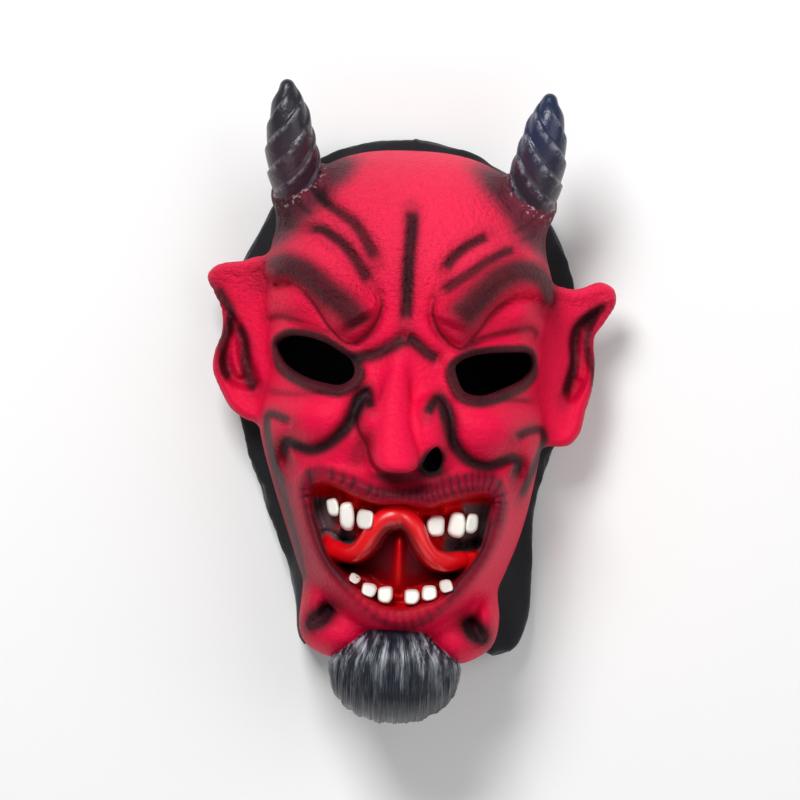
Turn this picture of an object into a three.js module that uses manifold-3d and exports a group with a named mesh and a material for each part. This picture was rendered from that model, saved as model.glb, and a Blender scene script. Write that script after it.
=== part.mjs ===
// A hooded devil mask for an adult, lying face up: a hollow latex casting and the knit hood sewn to its rim.
// Millimetres. +Z is up and is where the face looks. +Y runs from the beard to the horns.
// +X is the viewer's right.
// While it is drawn, the origin lies on the ground under the lower end of the forehead.
import * as THREE from "three";
import { mergeVertices } from "three/addons/utils/BufferGeometryUtils.js";
import Module from "manifold-3d";

const wasm = await Module();
wasm.setup();

// Driving dimensions
const WALL = 3; // latex thickness
const RIM_Z = 22; // height of the mask's back rim over the ground
const CHIN_RIM_RISE = 30; // how much higher the rim is cut under the chin
const HEAD_HALF_WIDTH = 66.5;
const HEAD_TOP_Y = 118;
const HEAD_BOTTOM_Y = -126;
const FOREHEAD_Z = 104;
const HEAD_POWER = 2.6; // squareness of the head's sections
const TEMPLE_Y = 48; // the head narrows above this and below CHEEK_Y
const CHEEK_Y = -18;
const WALL_ROOT_Z = 6; // the side walls are upright below this
const FADE_Z = [18, 60]; // the relief fades out between these heights down the sides
const MOUTH_DEPTH = 19;
const BASIN_Z = 46; // down to here the hollow leaves room for the mouth's basin
const TOOTH_RISE = 10;
const TOOTH_ROOT = 2.5; // how deep a tooth reaches into the gum
const TOOTH_CORNERS = 12;
const TONGUE_RISE = 15.5;
const TONGUE_HALF_WIDTH = 6.8;
const GUM_RISE = 6;
const FABRIC = 2; // thickness of the hood's solid, a little more than the real knit
const SEAM_GAP = 0.3;
const SCULPT_STEP = 2; // cell of the grid that the sculpted surfaces are drawn from
const HOLLOW_STEP = 3;
const OUTER_TRIANGLES = 6500;
const HOLLOW_TRIANGLES = 1300;
const BAG_TRIANGLES = 700;

// Small functions that all the forms are made of
const clamp = THREE.MathUtils.clamp;
const step = (low, high, v) => {
  const t = clamp((v - low) / (high - low), 0, 1);
  return t * t * (3 - 2 * t);
};
const bell = (d, width) => Math.exp(-((d / width) ** 2));
const softMin = (a, b, k) => {
  const h = Math.max(k - Math.abs(a - b), 0) / k;
  return Math.min(a, b) - (h * h * k) / 4;
};
const softMax = (a, b, k) => -softMin(-a, -b, k);
const ellipsoid = (x, y, z, [cx, cy, cz], [rx, ry, rz]) => {
  const [px, py, pz] = [(x - cx) / rx, (y - cy) / ry, (z - cz) / rz];
  const k0 = Math.hypot(px, py, pz);
  const k1 = Math.hypot(px / rx, py / ry, pz / rz);
  return k1 > 0 ? (k0 * (k0 - 1)) / k1 : -Math.min(rx, ry, rz);
};

// A smooth line through a few points; closed lines also say whether a point lies inside.
function line(points, closed = false) {
  const curve = new THREE.CatmullRomCurve3(
    points.map(([x, y]) => new THREE.Vector3(x, y, 0)),
    closed,
    "centripetal",
  );
  const dots = curve.getPoints(points.length * 6);
  const pad = 30;
  const xs = dots.map((p) => p.x);
  const ys = dots.map((p) => p.y);
  const box = [Math.min(...xs) - pad, Math.max(...xs) + pad, Math.min(...ys) - pad, Math.max(...ys) + pad];
  // Distance to the line, negative inside a closed one, and how far along it the nearest point is (0 to 1).
  return (x, y) => {
    if (x < box[0] || x > box[1] || y < box[2] || y > box[3]) return { d: pad, t: 0 };
    let best = Infinity;
    let along = 0;
    let inside = false;
    for (let i = 0; i + 1 < dots.length; i++) {
      const [a, b] = [dots[i], dots[i + 1]];
      const [ex, ey] = [b.x - a.x, b.y - a.y];
      const t = clamp(((x - a.x) * ex + (y - a.y) * ey) / (ex * ex + ey * ey), 0, 1);
      const d = (x - a.x - t * ex) ** 2 + (y - a.y - t * ey) ** 2;
      if (d < best) {
        best = d;
        along = (i + t) / (dots.length - 1);
      }
      if (closed && a.y > y !== b.y > y && x < a.x + ((y - a.y) * ex) / ey) inside = !inside;
    }
    return { d: inside ? -Math.sqrt(best) : Math.sqrt(best), t: along };
  };
}

// Relief strokes. A stroke is a ridge or, with a negative rise, a groove, and thins out at its ends.
function stroke(points, width, rise, { endWidth = width, fade = 0.12 } = {}) {
  const at = line(points);
  return (x, y) => {
    const { d, t } = at(x, y);
    const w = width + (endWidth - width) * t;
    return rise * bell(d, w) * (fade ? step(0, fade, t + 0.02) * step(0, fade, 1.02 - t) : 1);
  };
}
const mound = ([cx, cy], [rx, ry], rise, turn = 0) => {
  const [c, s] = [Math.cos(turn), Math.sin(turn)];
  return (x, y) => {
    const [u, v] = [(x - cx) * c + (y - cy) * s, (y - cy) * c - (x - cx) * s];
    return rise * Math.exp(-((u / rx) ** 2) - (v / ry) ** 2);
  };
};

// A brow swells up steeply from the crease under it and runs out softly into the forehead.
const PILLOW_SIDE = 8;
const PILLOW_FADE = 13;
function pillow(crease, top, rise) {
  const [low, high] = [line(crease), line(top)];
  const outline = line([...crease, ...top.slice(1, -1).reverse()], true);
  return (x, y) => {
    if (outline(x, y).d > 0) return 0;
    const side = clamp(low(x, y).d / PILLOW_SIDE, 0, 1);
    return rise * Math.sqrt(1 - (1 - side) ** 2) * step(0, PILLOW_FADE, high(x, y).d);
  };
}

// Outlines seen from the front
const EYE_POINTS = [
  [[-58.5, 24], [-54, 27.3], [-46, 27.5], [-38, 25.5], [-30, 21.5], [-23.5, 16.5], [-22.5, 10.5], [-28, 6],
   [-37, 6.7], [-47, 10], [-55, 15.5]],
  [[24, 16.5], [30, 20.8], [38, 22.8], [48, 23.8], [57.5, 23.6], [59, 18], [55, 12], [46, 7], [36, 3.4],
   [28.5, 5], [25, 11]],
];
const NOSTRIL = [
  [10.6, -30], [11.8, -26], [14.2, -22.2], [16.8, -20.6], [18.8, -23.4], [18.9, -27.5], [17.2, -31],
  [13.8, -32],
];
const LEFT_EYE = line(EYE_POINTS[0], true);
const RIGHT_EYE = line(EYE_POINTS[1], true);
const MOUTH = line(
  [[-41, -42], [-32, -43], [-22, -47], [-12, -51], [2, -50], [14, -51.5], [24, -49], [33, -46], [43, -44],
   [43, -56], [39, -69], [30, -80], [17, -90], [2, -95], [-9, -92], [-22, -81], [-32, -67], [-37.5, -54]],
  true,
);
const LIP = line(
  [[-44, -41], [-33, -37.5], [-20, -39.5], [-8, -43], [2, -43.5], [12, -43.5], [24, -40.5], [35, -38],
   [46, -41], [47, -52], [43, -67], [34, -82], [20, -95], [3, -101.5], [-12, -97], [-27, -84], [-37, -69],
   [-42, -55]],
  true,
);
const TONGUE_EDGE = line(
  [[-32, -65.5], [-28, -70], [-22.8, -71.8], [-17.6, -70.4], [-13.3, -66], [-10.2, -60.8], [-6.6, -56.2],
   [-3, -54.4], [0.7, -54], [4.2, -54.8], [7.7, -58], [10.4, -63], [13.3, -67.8], [17.3, -72],
   [23.3, -73.9], [30.3, -72.6], [36.5, -69.8]],
);

// Middle, half width and half height of each tooth, and how far it leans
const UPPER_TEETH = [
  [-29.8, -50.8, 2.7, 4.2, 0.15], [-23.2, -54.6, 3.4, 6.1, 0.05], [-14.8, -55.3, 3.9, 4.2, 0],
  [17.8, -57.6, 4.2, 4.5, 0], [27.6, -56.8, 3.9, 5.7, -0.2], [34.4, -55.5, 2.8, 4.4, -0.1],
];
const LOWER_TEETH = [
  [-18.4, -82.5, 2.6, 1.9, -0.4], [-11.5, -87.6, 3.2, 2.9, -0.2], [-4.1, -89.8, 3.3, 3.6, 0],
  [8.3, -90.1, 3.4, 3.5, 0], [16.3, -88, 3.4, 3.3, 0.15], [23.8, -84.6, 2.9, 2.8, 0.3],
];

// Wrinkles, brows and other relief. The two sides differ, as they do in the casting.
const BROW_END = { endWidth: 10.5, fade: 0.1 };
const BROWS = [
  stroke([[-64, 53], [-60, 61], [-50, 61], [-38, 53], [-27, 43], [-21, 34]], 7, 6, BROW_END),
  stroke([[66, 45], [66, 54], [58, 63], [46, 62], [33, 52], [24, 42], [20.5, 34]], 6.5, 6, BROW_END),
  pillow(
    [[-67, 47], [-58, 53], [-49, 49.5], [-41, 41], [-34, 31], [-25, 24.5], [-16, 31], [-10.7, 42],
     [-13, 51]],
    [[-67, 47], [-68, 57], [-60, 67], [-46, 66], [-31, 60], [-20, 56], [-13, 51]],
    6,
  ),
  pillow(
    [[65, 39], [61, 49], [51, 50.5], [40, 42], [32, 30.5], [25.5, 24], [16.5, 30.5], [12.3, 40], [13, 48]],
    [[65, 39], [69, 51], [62, 65], [48, 70], [34, 64], [22, 55], [13, 48]],
    6,
  ),
];
const GROOVES = [
  stroke([[1, 87], [0.6, 60], [0.3, 34]], 2.4, -2.6),
  stroke([[1, 29], [-6, 25.5], [-13, 20.5], [-24, 17.5]], 2.7, -4, { fade: 0.05 }),
  stroke([[1, 29], [7, 25.5], [12, 21.5], [17, 18.5]], 2.6, -3.6),
  stroke([[-45, 99], [-38, 89], [-27, 82], [-19, 73], [-13.5, 62]], 2.6, -2.8),
  stroke([[-50, 77], [-41, 77.5], [-31, 70.5], [-23, 62], [-16, 52.5]], 2.6, -2.8),
  stroke([[-44, 74], [-36, 66.5], [-24, 57.5]], 1.4, -1.2),
  stroke([[16.5, 58], [20, 64.5], [28, 71.5], [39, 78]], 2.5, -2.6),
  stroke([[14.5, 50], [22, 53], [33, 61], [42, 67.5], [52, 71]], 2.5, -2.8),
  stroke([[-12.5, 50], [-11.2, 42], [-14, 32], [-23, 24.5]], 1.7, -3, { fade: 0.05 }),
  stroke([[12.5, 48], [11.5, 40], [15.5, 31], [25, 24.5]], 1.7, -3, { fade: 0.05 }),
  stroke([[-24, 24.5], [-33, 30], [-41, 42], [-50, 51.5], [-62, 51]], 2, -3, { fade: 0.05 }),
  stroke([[26, 24.5], [31, 31], [40, 42.5], [50, 50.5], [60, 50], [64, 41]], 2, -3.2, { fade: 0.05 }),
  stroke([[-64.5, 34], [-58, 36], [-48, 33.5], [-37, 30.5]], 1.3, -2.2),
  stroke([[31, 27], [42, 31], [56, 35], [62, 31.5]], 1.3, -2.2),
  stroke([[-64, 0.5], [-50, 1.5], [-34, 0.5]], 1.6, -1.6),
  stroke([[64, 2], [50, 2.2], [36, 1]], 1.6, -1.6),
  stroke(
    [[-17, 4.5], [-21, -5], [-25.5, -14], [-33, -21.5], [-42, -24], [-50, -21], [-53.5, -26], [-52, -36]],
    3, -5.5,
  ),
  stroke(
    [[17, 2.5], [21, -6], [24, -17], [31, -26], [41, -29], [51, -24.5], [56.5, -27], [54, -37]],
    2.8, -5.5,
  ),
  stroke([[-49, -13.5], [-55, -10.5], [-61.5, -9.5], [-62, -20], [-58, -36], [-53, -50]], 2, -2.6),
  stroke([[52, -16], [58, -11.5], [65, -11], [66.5, -18], [61, -36]], 2, -2.6),
  stroke([[-57, -48], [-50, -68], [-43.5, -90]], 1.8, -2.2),
  stroke([[-12.5, -6], [-14, 0], [-17, 4.5]], 2, -2.5),
  stroke([[11.5, -7], [13, -2], [17, 2.5]], 2, -2.5),
];
const MOUNDS = [
  mound([0, 62], [16, 30], 2.5),
  mound([-54, 43], [11, 8], 6.5),
  mound([55, 42], [10, 9], 6.5),
  mound([-42, 15], [25, 13], -6),
  mound([42, 13], [25, 13], -6),
  mound([-42, -9], [19, 13], 10, 0.15),
  mound([43, -11], [19, 13], 10, -0.15),
  mound([-60, -28], [6, 16], 3, 0.15),
  mound([61, -26], [6, 16], 3, -0.15),
];

// Lip wrinkles run across the lip band.
function lipRelief(x, y) {
  const lip = LIP(x, y);
  const upper = step(-52, -44, y);
  const wrinkles = 0.55 * Math.sin(x * 1.35) * bell(lip.d, 5) * upper;
  return (5.5 + upper * 0.5) * bell(lip.d, 5.2) + wrinkles;
}

// The raised tongue: its front edge curls up as a thick roll, and a ridge runs down the hollow below it.
function tongueRelief(x, y) {
  const edge = TONGUE_EDGE(x, y);
  const lobes = step(-50, -60, y - 0.2 * Math.abs(x)) * step(-96, -84, y) * bell(x - 2, 30);
  const frenulum = bell(x - 1.5, 1.6 + Math.max(0, -62 - y) * 0.05) * step(-58, -66, y) * step(-97, -90, y);
  const roll = Math.sqrt(Math.max(0, 1 - (edge.d / TONGUE_HALF_WIDTH) ** 2));
  const corners = 0.7 * step(24, 29, Math.abs(x - 2)) * step(-70, -60, y);
  return TONGUE_RISE * Math.max(roll, corners) + 3 * lobes + 4 * frenulum;
}

// Gums stand up from the basin's floor along the upper and the lower lip.
function mouthRelief(x, y) {
  const { d } = MOUTH(x, y);
  if (d > 3) return 0;
  const inside = step(1.2, -2.6, d);
  const gums = step(-9, -4, d) * Math.max(step(-57, -51, y) * step(-29, -23, x), step(-76, -83, y));
  return inside * (Math.max(tongueRelief(x, y), GUM_RISE * gums) - MOUTH_DEPTH);
}

function skinRelief(x, y) {
  let h = 0;
  for (const part of [...BROWS, ...GROOVES, ...MOUNDS]) h += part(x, y);
  const lids = Math.min(LEFT_EYE(x, y).d, RIGHT_EYE(x, y).d);
  h += 3.2 * bell(lids - 2.6, 2.8);
  return h;
}

function relief(x, y) {
  const h = skinRelief(x, y);
  const lips = lipRelief(x, y);
  const mouth = mouthRelief(x, y);
  return mouth < -0.01 ? h * 0.4 + Math.min(lips, 3) * step(-6, 0, mouth) + mouth : h + lips;
}

// The lower face is pulled a little to the viewer's right.
const midline = (y) => 0.5 + 2.6 * step(-10, -70, y);

// The head without its relief. The value is close to a distance near the surface.
function head(x, y, z) {
  const up = Math.max(0, y - TEMPLE_Y) / (HEAD_TOP_Y - TEMPLE_Y);
  const down = Math.max(0, CHEEK_Y - y) / (CHEEK_Y - HEAD_BOTTOM_Y);
  const p = HEAD_POWER;
  const wide = Math.abs(x - midline(y)) / HEAD_HALF_WIDTH;
  const deep = Math.max(0, z - WALL_ROOT_Z) / (FOREHEAD_Z - WALL_ROOT_Z);
  const sum = wide ** p + deep ** p + up ** p + down ** 1.1;
  const value = sum ** (1 / p) - 1;
  const k = Math.max(sum, 1e-6) ** (1 / p - 1);
  const slope = Math.hypot(
    (k * wide ** (p - 1)) / HEAD_HALF_WIDTH,
    (k * deep ** (p - 1)) / (FOREHEAD_Z - WALL_ROOT_Z),
    up > 0
      ? (k * up ** (p - 1)) / (HEAD_TOP_Y - TEMPLE_Y)
      : (k * 1.1 * down ** 0.1 * (down > 0)) / (p * (CHEEK_Y - HEAD_BOTTOM_Y)),
  );
  const skull = clamp(value / Math.max(slope, 0.006), -40, 40);
  const muzzle = ellipsoid(x, y, z, [2, -66, 50], [45, 50, 57]);
  return softMin(skull, muzzle, 12);
}

const JAW_HOLLOWS = [
  stroke([[-27, -97], [-33, -101], [-40, -106]], 4.6, 2.6, { fade: 0.3 }),
  stroke([[34, -97], [37, -104], [43, -111]], 4.6, 2.6, { fade: 0.3 }),
];
function jaw(x, y, z) {
  const knobs = Math.min(
    ellipsoid(x, y, z, [-36, -99, 46], [7.5, 14, 30]),
    ellipsoid(x, y, z, [42, -100, 46], [7.5, 14, 30]),
  );
  const sides = Math.min(
    ellipsoid(x, y, z, [-25, -108, 54], [17, 13, 28]),
    ellipsoid(x, y, z, [28, -109, 54], [17, 13, 28]),
  );
  const dents = y > -60 ? 0 : JAW_HOLLOWS[0](x, y) + JAW_HOLLOWS[1](x, y);
  return softMin(knobs, sides, 7) + dents * step(40, 60, z);
}

// The beard is a ball of carved hair, narrower at the top. Its locks are ridges that run down it.
function beard(x, y, z) {
  const taper = 1 - 0.32 * step(-124, -104, y);
  const fan = (x - 1.5) / (1 + Math.max(0, y + 122) * -0.012);
  const locks = 0.8 * Math.sin(fan * 0.95 + 0.6 * Math.sin(y * 0.12)) * step(-148, -135, y);
  return ellipsoid((x - 1.5) / taper, y, z, [0, -124, 66], [30, 25, 33]) - locks;
}

// The nose is a wedge with a flat front, wider and higher towards its tip, with a wing on each side.
const [NOSE_TOP, NOSE_END] = [33, -34.5];
const NOSE_ROOT_Z = 97.5;
const NOSE_GAIN = 34;
const NOSE_HALF_WIDTH = [3, 10];
const NOSE_BEND = 3.4; // how far it curves to the viewer's left
const NOSE_FLARE = 0.15;
const NOSE_WINGS = [
  [[-13, -9.5, 103], [7.2, 8.8, 13]],
  [[12.3, -14.5, 103], [10.2, 17.5, 15]],
];
function nose(x, y, z) {
  const t = clamp((NOSE_TOP - y) / (NOSE_TOP - NOSE_END), 0, 1);
  const front = NOSE_ROOT_Z + NOSE_GAIN * t ** 0.9;
  const off = x - 0.3 + NOSE_BEND * Math.sin(2.92 * t);
  const half = NOSE_HALF_WIDTH[0] + (NOSE_HALF_WIDTH[1] - NOSE_HALF_WIDTH[0]) * t ** 1.2;
  const side = Math.abs(off) - half - NOSE_FLARE * (front - z);
  const ridge = softMax(0.98 * side, 0.9 * (z - front) + 0.03 * off * off, 5);
  const wedge = softMax(ridge, NOSE_END + NOSE_FLARE * (front - z) - y, 9);
  const wings = Math.min(...NOSE_WINGS.map((one) => ellipsoid(x, y, z, ...one)));
  return softMin(wedge, wings, 5);
}

// Ears: an outline, a cup pressed into its front, and a roll along its rim
const EARS = [
  {
    side: -1,
    outline: line(
      [[-55, 60], [-68, 65], [-78, 62.5], [-89, 60.5], [-94, 55], [-91, 47.5], [-86.5, 38], [-86, 29],
       [-89, 20], [-89.7, 11], [-85, 0], [-79, -8.5], [-70, -13], [-55, -12]], true),
    cup: line(
      [[-91, 50.5], [-83, 40], [-75.5, 30], [-71.5, 18], [-66.5, 4], [-73, 2], [-83, 7], [-86.3, 15],
       [-83, 26], [-83.5, 34], [-88, 44]], true),
    ridge: stroke([[-80, 27], [-79.5, 17], [-76, 7]], 2.4, 4),
  },
  {
    side: 1,
    outline: line(
      [[55, 56], [70, 56.5], [80, 55.5], [91, 59.3], [98, 56], [99, 49], [94, 40], [89.5, 33], [90.2, 20],
       [89.3, 8], [86.5, -3], [84.5, -12], [79, -18.5], [70, -19], [55, -14]], true),
    cup: line(
      [[95, 49], [86, 44], [79, 37], [77.3, 30], [78.8, 22], [76, 8], [79, 2], [84, 6], [87.5, 15], [87, 30],
       [89, 38]], true),
    ridge: stroke([[84.5, 38], [83.5, 26], [83, 12]], 2.2, 4),
  },
];
const EAR_THICKNESS = 6.5;
const EAR_CUP = 8;
const EAR_Z = 40;

function ear({ outline, cup, ridge }, x, y, z) {
  const out = outline(x, y).d;
  if (out > 12) return out;
  const hollow = step(1.5, -3, cup(x, y).d);
  const reach = Math.max(0, Math.abs(x) - HEAD_HALF_WIDTH);
  const roll = 2.6 * bell(out + 3, 3.2);
  const front = EAR_Z - reach * 0.28 + roll - EAR_CUP * hollow + ridge(x, y) * hollow;
  const back = EAR_Z - reach * 0.28 - EAR_THICKNESS - (EAR_CUP - 1.5) * step(0, -9, out);
  return softMax(softMax(out, (z - front) * 0.8, 4.5), (back - z) * 0.8, 4);
}

// A horn is swept along a curve, and ridges wind up it as on a screw. Skin rises round its foot in pleats.
const HORN_R = 11.4;
const HORN_LENGTH = 48; // over this length it narrows to its tip
const HORN_RIDGE = 2.1;
const HORN_PITCH = 11.5; // height between neighbouring ridges
const HORN_STARTS = 6;
const SOCKET_R = 15.2;
const SOCKET_PLEATS = 13;
const HORNS = [
  {
    side: -1,
    path: [
      [-46.6, 90, 46], [-52, 98, 54], [-54.7, 108, 61], [-56.2, 116, 65.5], [-57.2, 128, 69],
      [-59.2, 146.3, 71],
    ],
    socket: [[-40, 80, 34], [-49.6, 94.5, 50.5]],
  },
  {
    side: 1,
    path: [
      [50.6, 89, 46], [56, 97, 54], [58.4, 107, 61], [59.9, 115, 65.5], [61.3, 127, 69], [63.2, 144.5, 71],
    ],
    socket: [[43, 79, 34], [53.4, 93.5, 50.5]],
  },
].map(({ side, path, socket }) => {
  const curve = new THREE.CatmullRomCurve3(path.map((p) => new THREE.Vector3(...p)));
  const ahead = new THREE.Vector3(...socket[1]).sub(new THREE.Vector3(...socket[0]));
  const across = new THREE.Vector3(side, 0, 0).cross(ahead).cross(ahead).normalize();
  const over = ahead.clone().cross(across).normalize();
  const dots = curve.getSpacedPoints(24);
  return { side, length: curve.getLength(), dots, from: socket[0], ahead, across, over };
});

function horn({ side, length, dots }, x, y, z, thinner = 0) {
  let best = Infinity;
  let value = 60;
  for (let i = 0; i + 1 < dots.length; i++) {
    const [a, b] = [dots[i], dots[i + 1]];
    const [ex, ey, ez] = [b.x - a.x, b.y - a.y, b.z - a.z];
    const dot = (x - a.x) * ex + (y - a.y) * ey + (z - a.z) * ez;
    const t = clamp(dot / (ex * ex + ey * ey + ez * ez), 0, 1);
    const [px, py, pz] = [x - a.x - t * ex, y - a.y - t * ey, z - a.z - t * ez];
    const d = Math.hypot(px, py, pz);
    if (d >= best) continue;
    best = d;
    const fromTip = length * (1 - (i + t) / (dots.length - 1));
    const narrowing = Math.max(0, 1 - clamp(1 - fromTip / HORN_LENGTH, 0, 1) ** 2) ** 0.58;
    const turn = Math.atan2(pz, px * side);
    const wind = (fromTip / HORN_PITCH + (turn * HORN_STARTS) / (2 * Math.PI)) * Math.PI;
    const ridge = thinner ? 0 : HORN_RIDGE * Math.abs(Math.sin(wind)) ** 0.8 * narrowing;
    value = d - HORN_R * narrowing - ridge + thinner;
  }
  return value;
}

function hornSocket({ from, ahead, across, over }, x, y, z) {
  const p = new THREE.Vector3(x - from[0], y - from[1], z - from[2]);
  p.addScaledVector(ahead, -clamp(p.dot(ahead) / ahead.lengthSq(), 0, 1));
  const turn = Math.atan2(p.dot(over), p.dot(across));
  return p.length() - SOCKET_R - 0.85 * Math.sin(turn * SOCKET_PLEATS + 1.2 * Math.sin(turn * 3));
}

// The relief is worked out once for each column of the grid, since it doesn't depend on height.
const columnCache = new Map();
function columnRelief(x, y) {
  const key = Math.round(x * 8) * 100000 + Math.round(y * 8);
  if (!columnCache.has(key)) columnCache.set(key, relief(x, y));
  return columnCache.get(key);
}

const rimZ = (y) => RIM_Z + CHIN_RIM_RISE * step(-55, -120, y);
const SPARE = 5; // how far the casting is drawn past its rim before the rim is cut

// The whole casting as one filled body, down to the rim
function casting(x, y, z) {
  const skin = head(x, y, z) - columnRelief(x, y) * step(FADE_Z[0], FADE_Z[1], z);
  let f = softMin(skin, jaw(x, y, z), 6);
  if (y > 56)
    for (const one of HORNS) {
      if (x * one.side < 14) continue;
      f = softMin(f, hornSocket(one, x, y, z), 9);
      f = Math.min(f, horn(one, x, y, z));
    }
  if (y < -85) f = softMin(f, beard(x, y, z), 2);
  if (Math.abs(x) < 40 && y < 45 && y > -50) f = softMin(f, nose(x, y, z), 4);
  if (Math.abs(x) > 50)
    for (const one of EARS)
      if (x * one.side > 50) f = softMin(f, ear(one, x, y, z), 5);
  return softMax(f, rimZ(y) - SPARE - z, 0.5);
}

// The hollow inside, which follows the outside a wall's thickness below the lowest relief nearby
const hollowCache = new Map();
function lowestRelief(x, y) {
  const key = Math.round(x) * 1000 + Math.round(y);
  if (!hollowCache.has(key)) {
    let low = Infinity;
    for (let i = -1; i <= 1; i++)
      for (let j = -1; j <= 1; j++) low = Math.min(low, skinRelief(x + i * 3, y + j * 3));
    hollowCache.set(key, Math.min(low, 4));
  }
  return hollowCache.get(key);
}
function hollow(x, y, z) {
  const skull = head(x, y, z);
  let f = skull - lowestRelief(x, y) * step(FADE_Z[0], FADE_Z[1], z) + WALL;
  if (y > 60) for (const one of HORNS) f = softMin(f, horn(one, x, y, z, WALL + 1.5), 3);
  if (y < -85) f = softMin(f, ellipsoid(x, y, z, [1.5, -120, 60], [22, 19, 24]), 6);
  if (Math.abs(x) < 30 && y < 30) f = softMin(f, nose(x, y, z) + WALL + 0.5, 6);
  f = softMin(f, jaw(x, y, z) + WALL + 1, 5);
  // The mouth's basin stands into the hollow.
  const basin = Math.max(MOUTH(x, y).d - WALL - 1, -(skull + MOUTH_DEPTH + WALL), BASIN_Z - z);
  return Math.max(softMax(f, -basin, 3), RIM_Z - 12 - z);
}

// Two sheets of the surface mustn't meet in one cell, so wherever only a diagonal joins two inside corners,
// the outside corner nearest to the surface is moved inside.
const CUBE = [0, 1, 2, 3, 4, 5, 6, 7].map((c) => [c & 1, (c >> 1) & 1, c >> 2]);
function untangle(values, n, at) {
  const inside = (c) => values[c] < 0;
  const fill = (corners) => {
    const outside = corners.filter((c) => !inside(c)).sort((a, b) => values[a] - values[b]);
    values[outside[0]] = -1e-3;
  };
  const steps = [at(1, 0, 0), at(0, 1, 0), at(0, 0, 1)];
  const diagonals = [[0, 7], [1, 6], [2, 5], [4, 3]];
  for (let changed = true; changed; ) {
    changed = false;
    for (let k = 0; k + 1 < n[2]; k++)
      for (let j = 0; j + 1 < n[1]; j++)
        for (let i = 0; i + 1 < n[0]; i++) {
          const c = at(i, j, k);
          for (let m = 0; m < 3; m++) {
            const [u, v] = [steps[m], steps[(m + 1) % 3]];
            const face = [c, c + u, c + u + v, c + v];
            if (inside(face[0]) === inside(face[1]) || inside(face[1]) === inside(face[2])) continue;
            if (inside(face[2]) === inside(face[3])) continue;
            fill(face);
            changed = true;
          }
          const box = CUBE.map(([p, q, r]) => c + p * steps[0] + q * steps[1] + r * steps[2]);
          const full = box.filter(inside).length;
          if (full !== 2 && full !== 6) continue;
          const odd = (corner) => inside(box[corner]) === (full === 2);
          if (diagonals.some(([a, b]) => odd(a) && odd(b))) {
            fill(box);
            changed = true;
          }
        }
  }
}

// Draws the surface where a field is zero: one point in each cell that the surface crosses.
function surfaceOf(field, [x0, y0, z0], [x1, y1, z1], size) {
  const n = [x1 - x0, y1 - y0, z1 - z0].map((v) => Math.ceil(v / size) + 1);
  const at = (i, j, k) => i + n[0] * (j + n[1] * k);
  const values = new Float32Array(n[0] * n[1] * n[2]);
  for (let k = 0; k < n[2]; k++)
    for (let j = 0; j < n[1]; j++)
      for (let i = 0; i < n[0]; i++) {
        const v = field(x0 + i * size, y0 + j * size, z0 + k * size);
        values[at(i, j, k)] = v === 0 ? 1e-6 : v;
      }
  untangle(values, n, at);
  const points = [];
  const cell = new Int32Array(values.length).fill(-1);
  const edges = [];
  for (let a = 0; a < 8; a++) for (const bit of [1, 2, 4]) if (!(a & bit)) edges.push([a, a | bit]);
  for (let k = 0; k + 1 < n[2]; k++)
    for (let j = 0; j + 1 < n[1]; j++)
      for (let i = 0; i + 1 < n[0]; i++) {
        const sum = [0, 0, 0];
        let count = 0;
        for (const [a, b] of edges) {
          const [p, q] = [CUBE[a], CUBE[b]];
          const va = values[at(i + p[0], j + p[1], k + p[2])];
          const vb = values[at(i + q[0], j + q[1], k + q[2])];
          if (va < 0 === vb < 0) continue;
          const t = va / (va - vb);
          for (let m = 0; m < 3; m++) sum[m] += p[m] + t * (q[m] - p[m]);
          count++;
        }
        if (!count) continue;
        cell[at(i, j, k)] = points.length;
        const spot = [i, j, k].map((cellIndex, m) => (cellIndex + sum[m] / count) * size);
        points.push([x0 + spot[0], y0 + spot[1], z0 + spot[2]]);
      }
  const triangles = [];
  const along = [at(1, 0, 0), at(0, 1, 0), at(0, 0, 1)];
  for (let k = 1; k + 1 < n[2]; k++)
    for (let j = 1; j + 1 < n[1]; j++)
      for (let i = 1; i + 1 < n[0]; i++) {
        const here = at(i, j, k);
        for (let m = 0; m < 3; m++) {
          const there = here + along[m];
          if (values[here] < 0 === values[there] < 0) continue;
          const [u, v] = [along[(m + 1) % 3], along[(m + 2) % 3]];
          const [a, b, c, d] = [here - u - v, here - v, here, here - u].map((q) => cell[q]);
          if (values[here] < 0) triangles.push([a, b, c], [a, c, d]);
          else triangles.push([a, c, b], [a, d, c]);
        }
      }
  return { points, triangles };
}

const SLIVER_AREA = 0.02;

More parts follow.
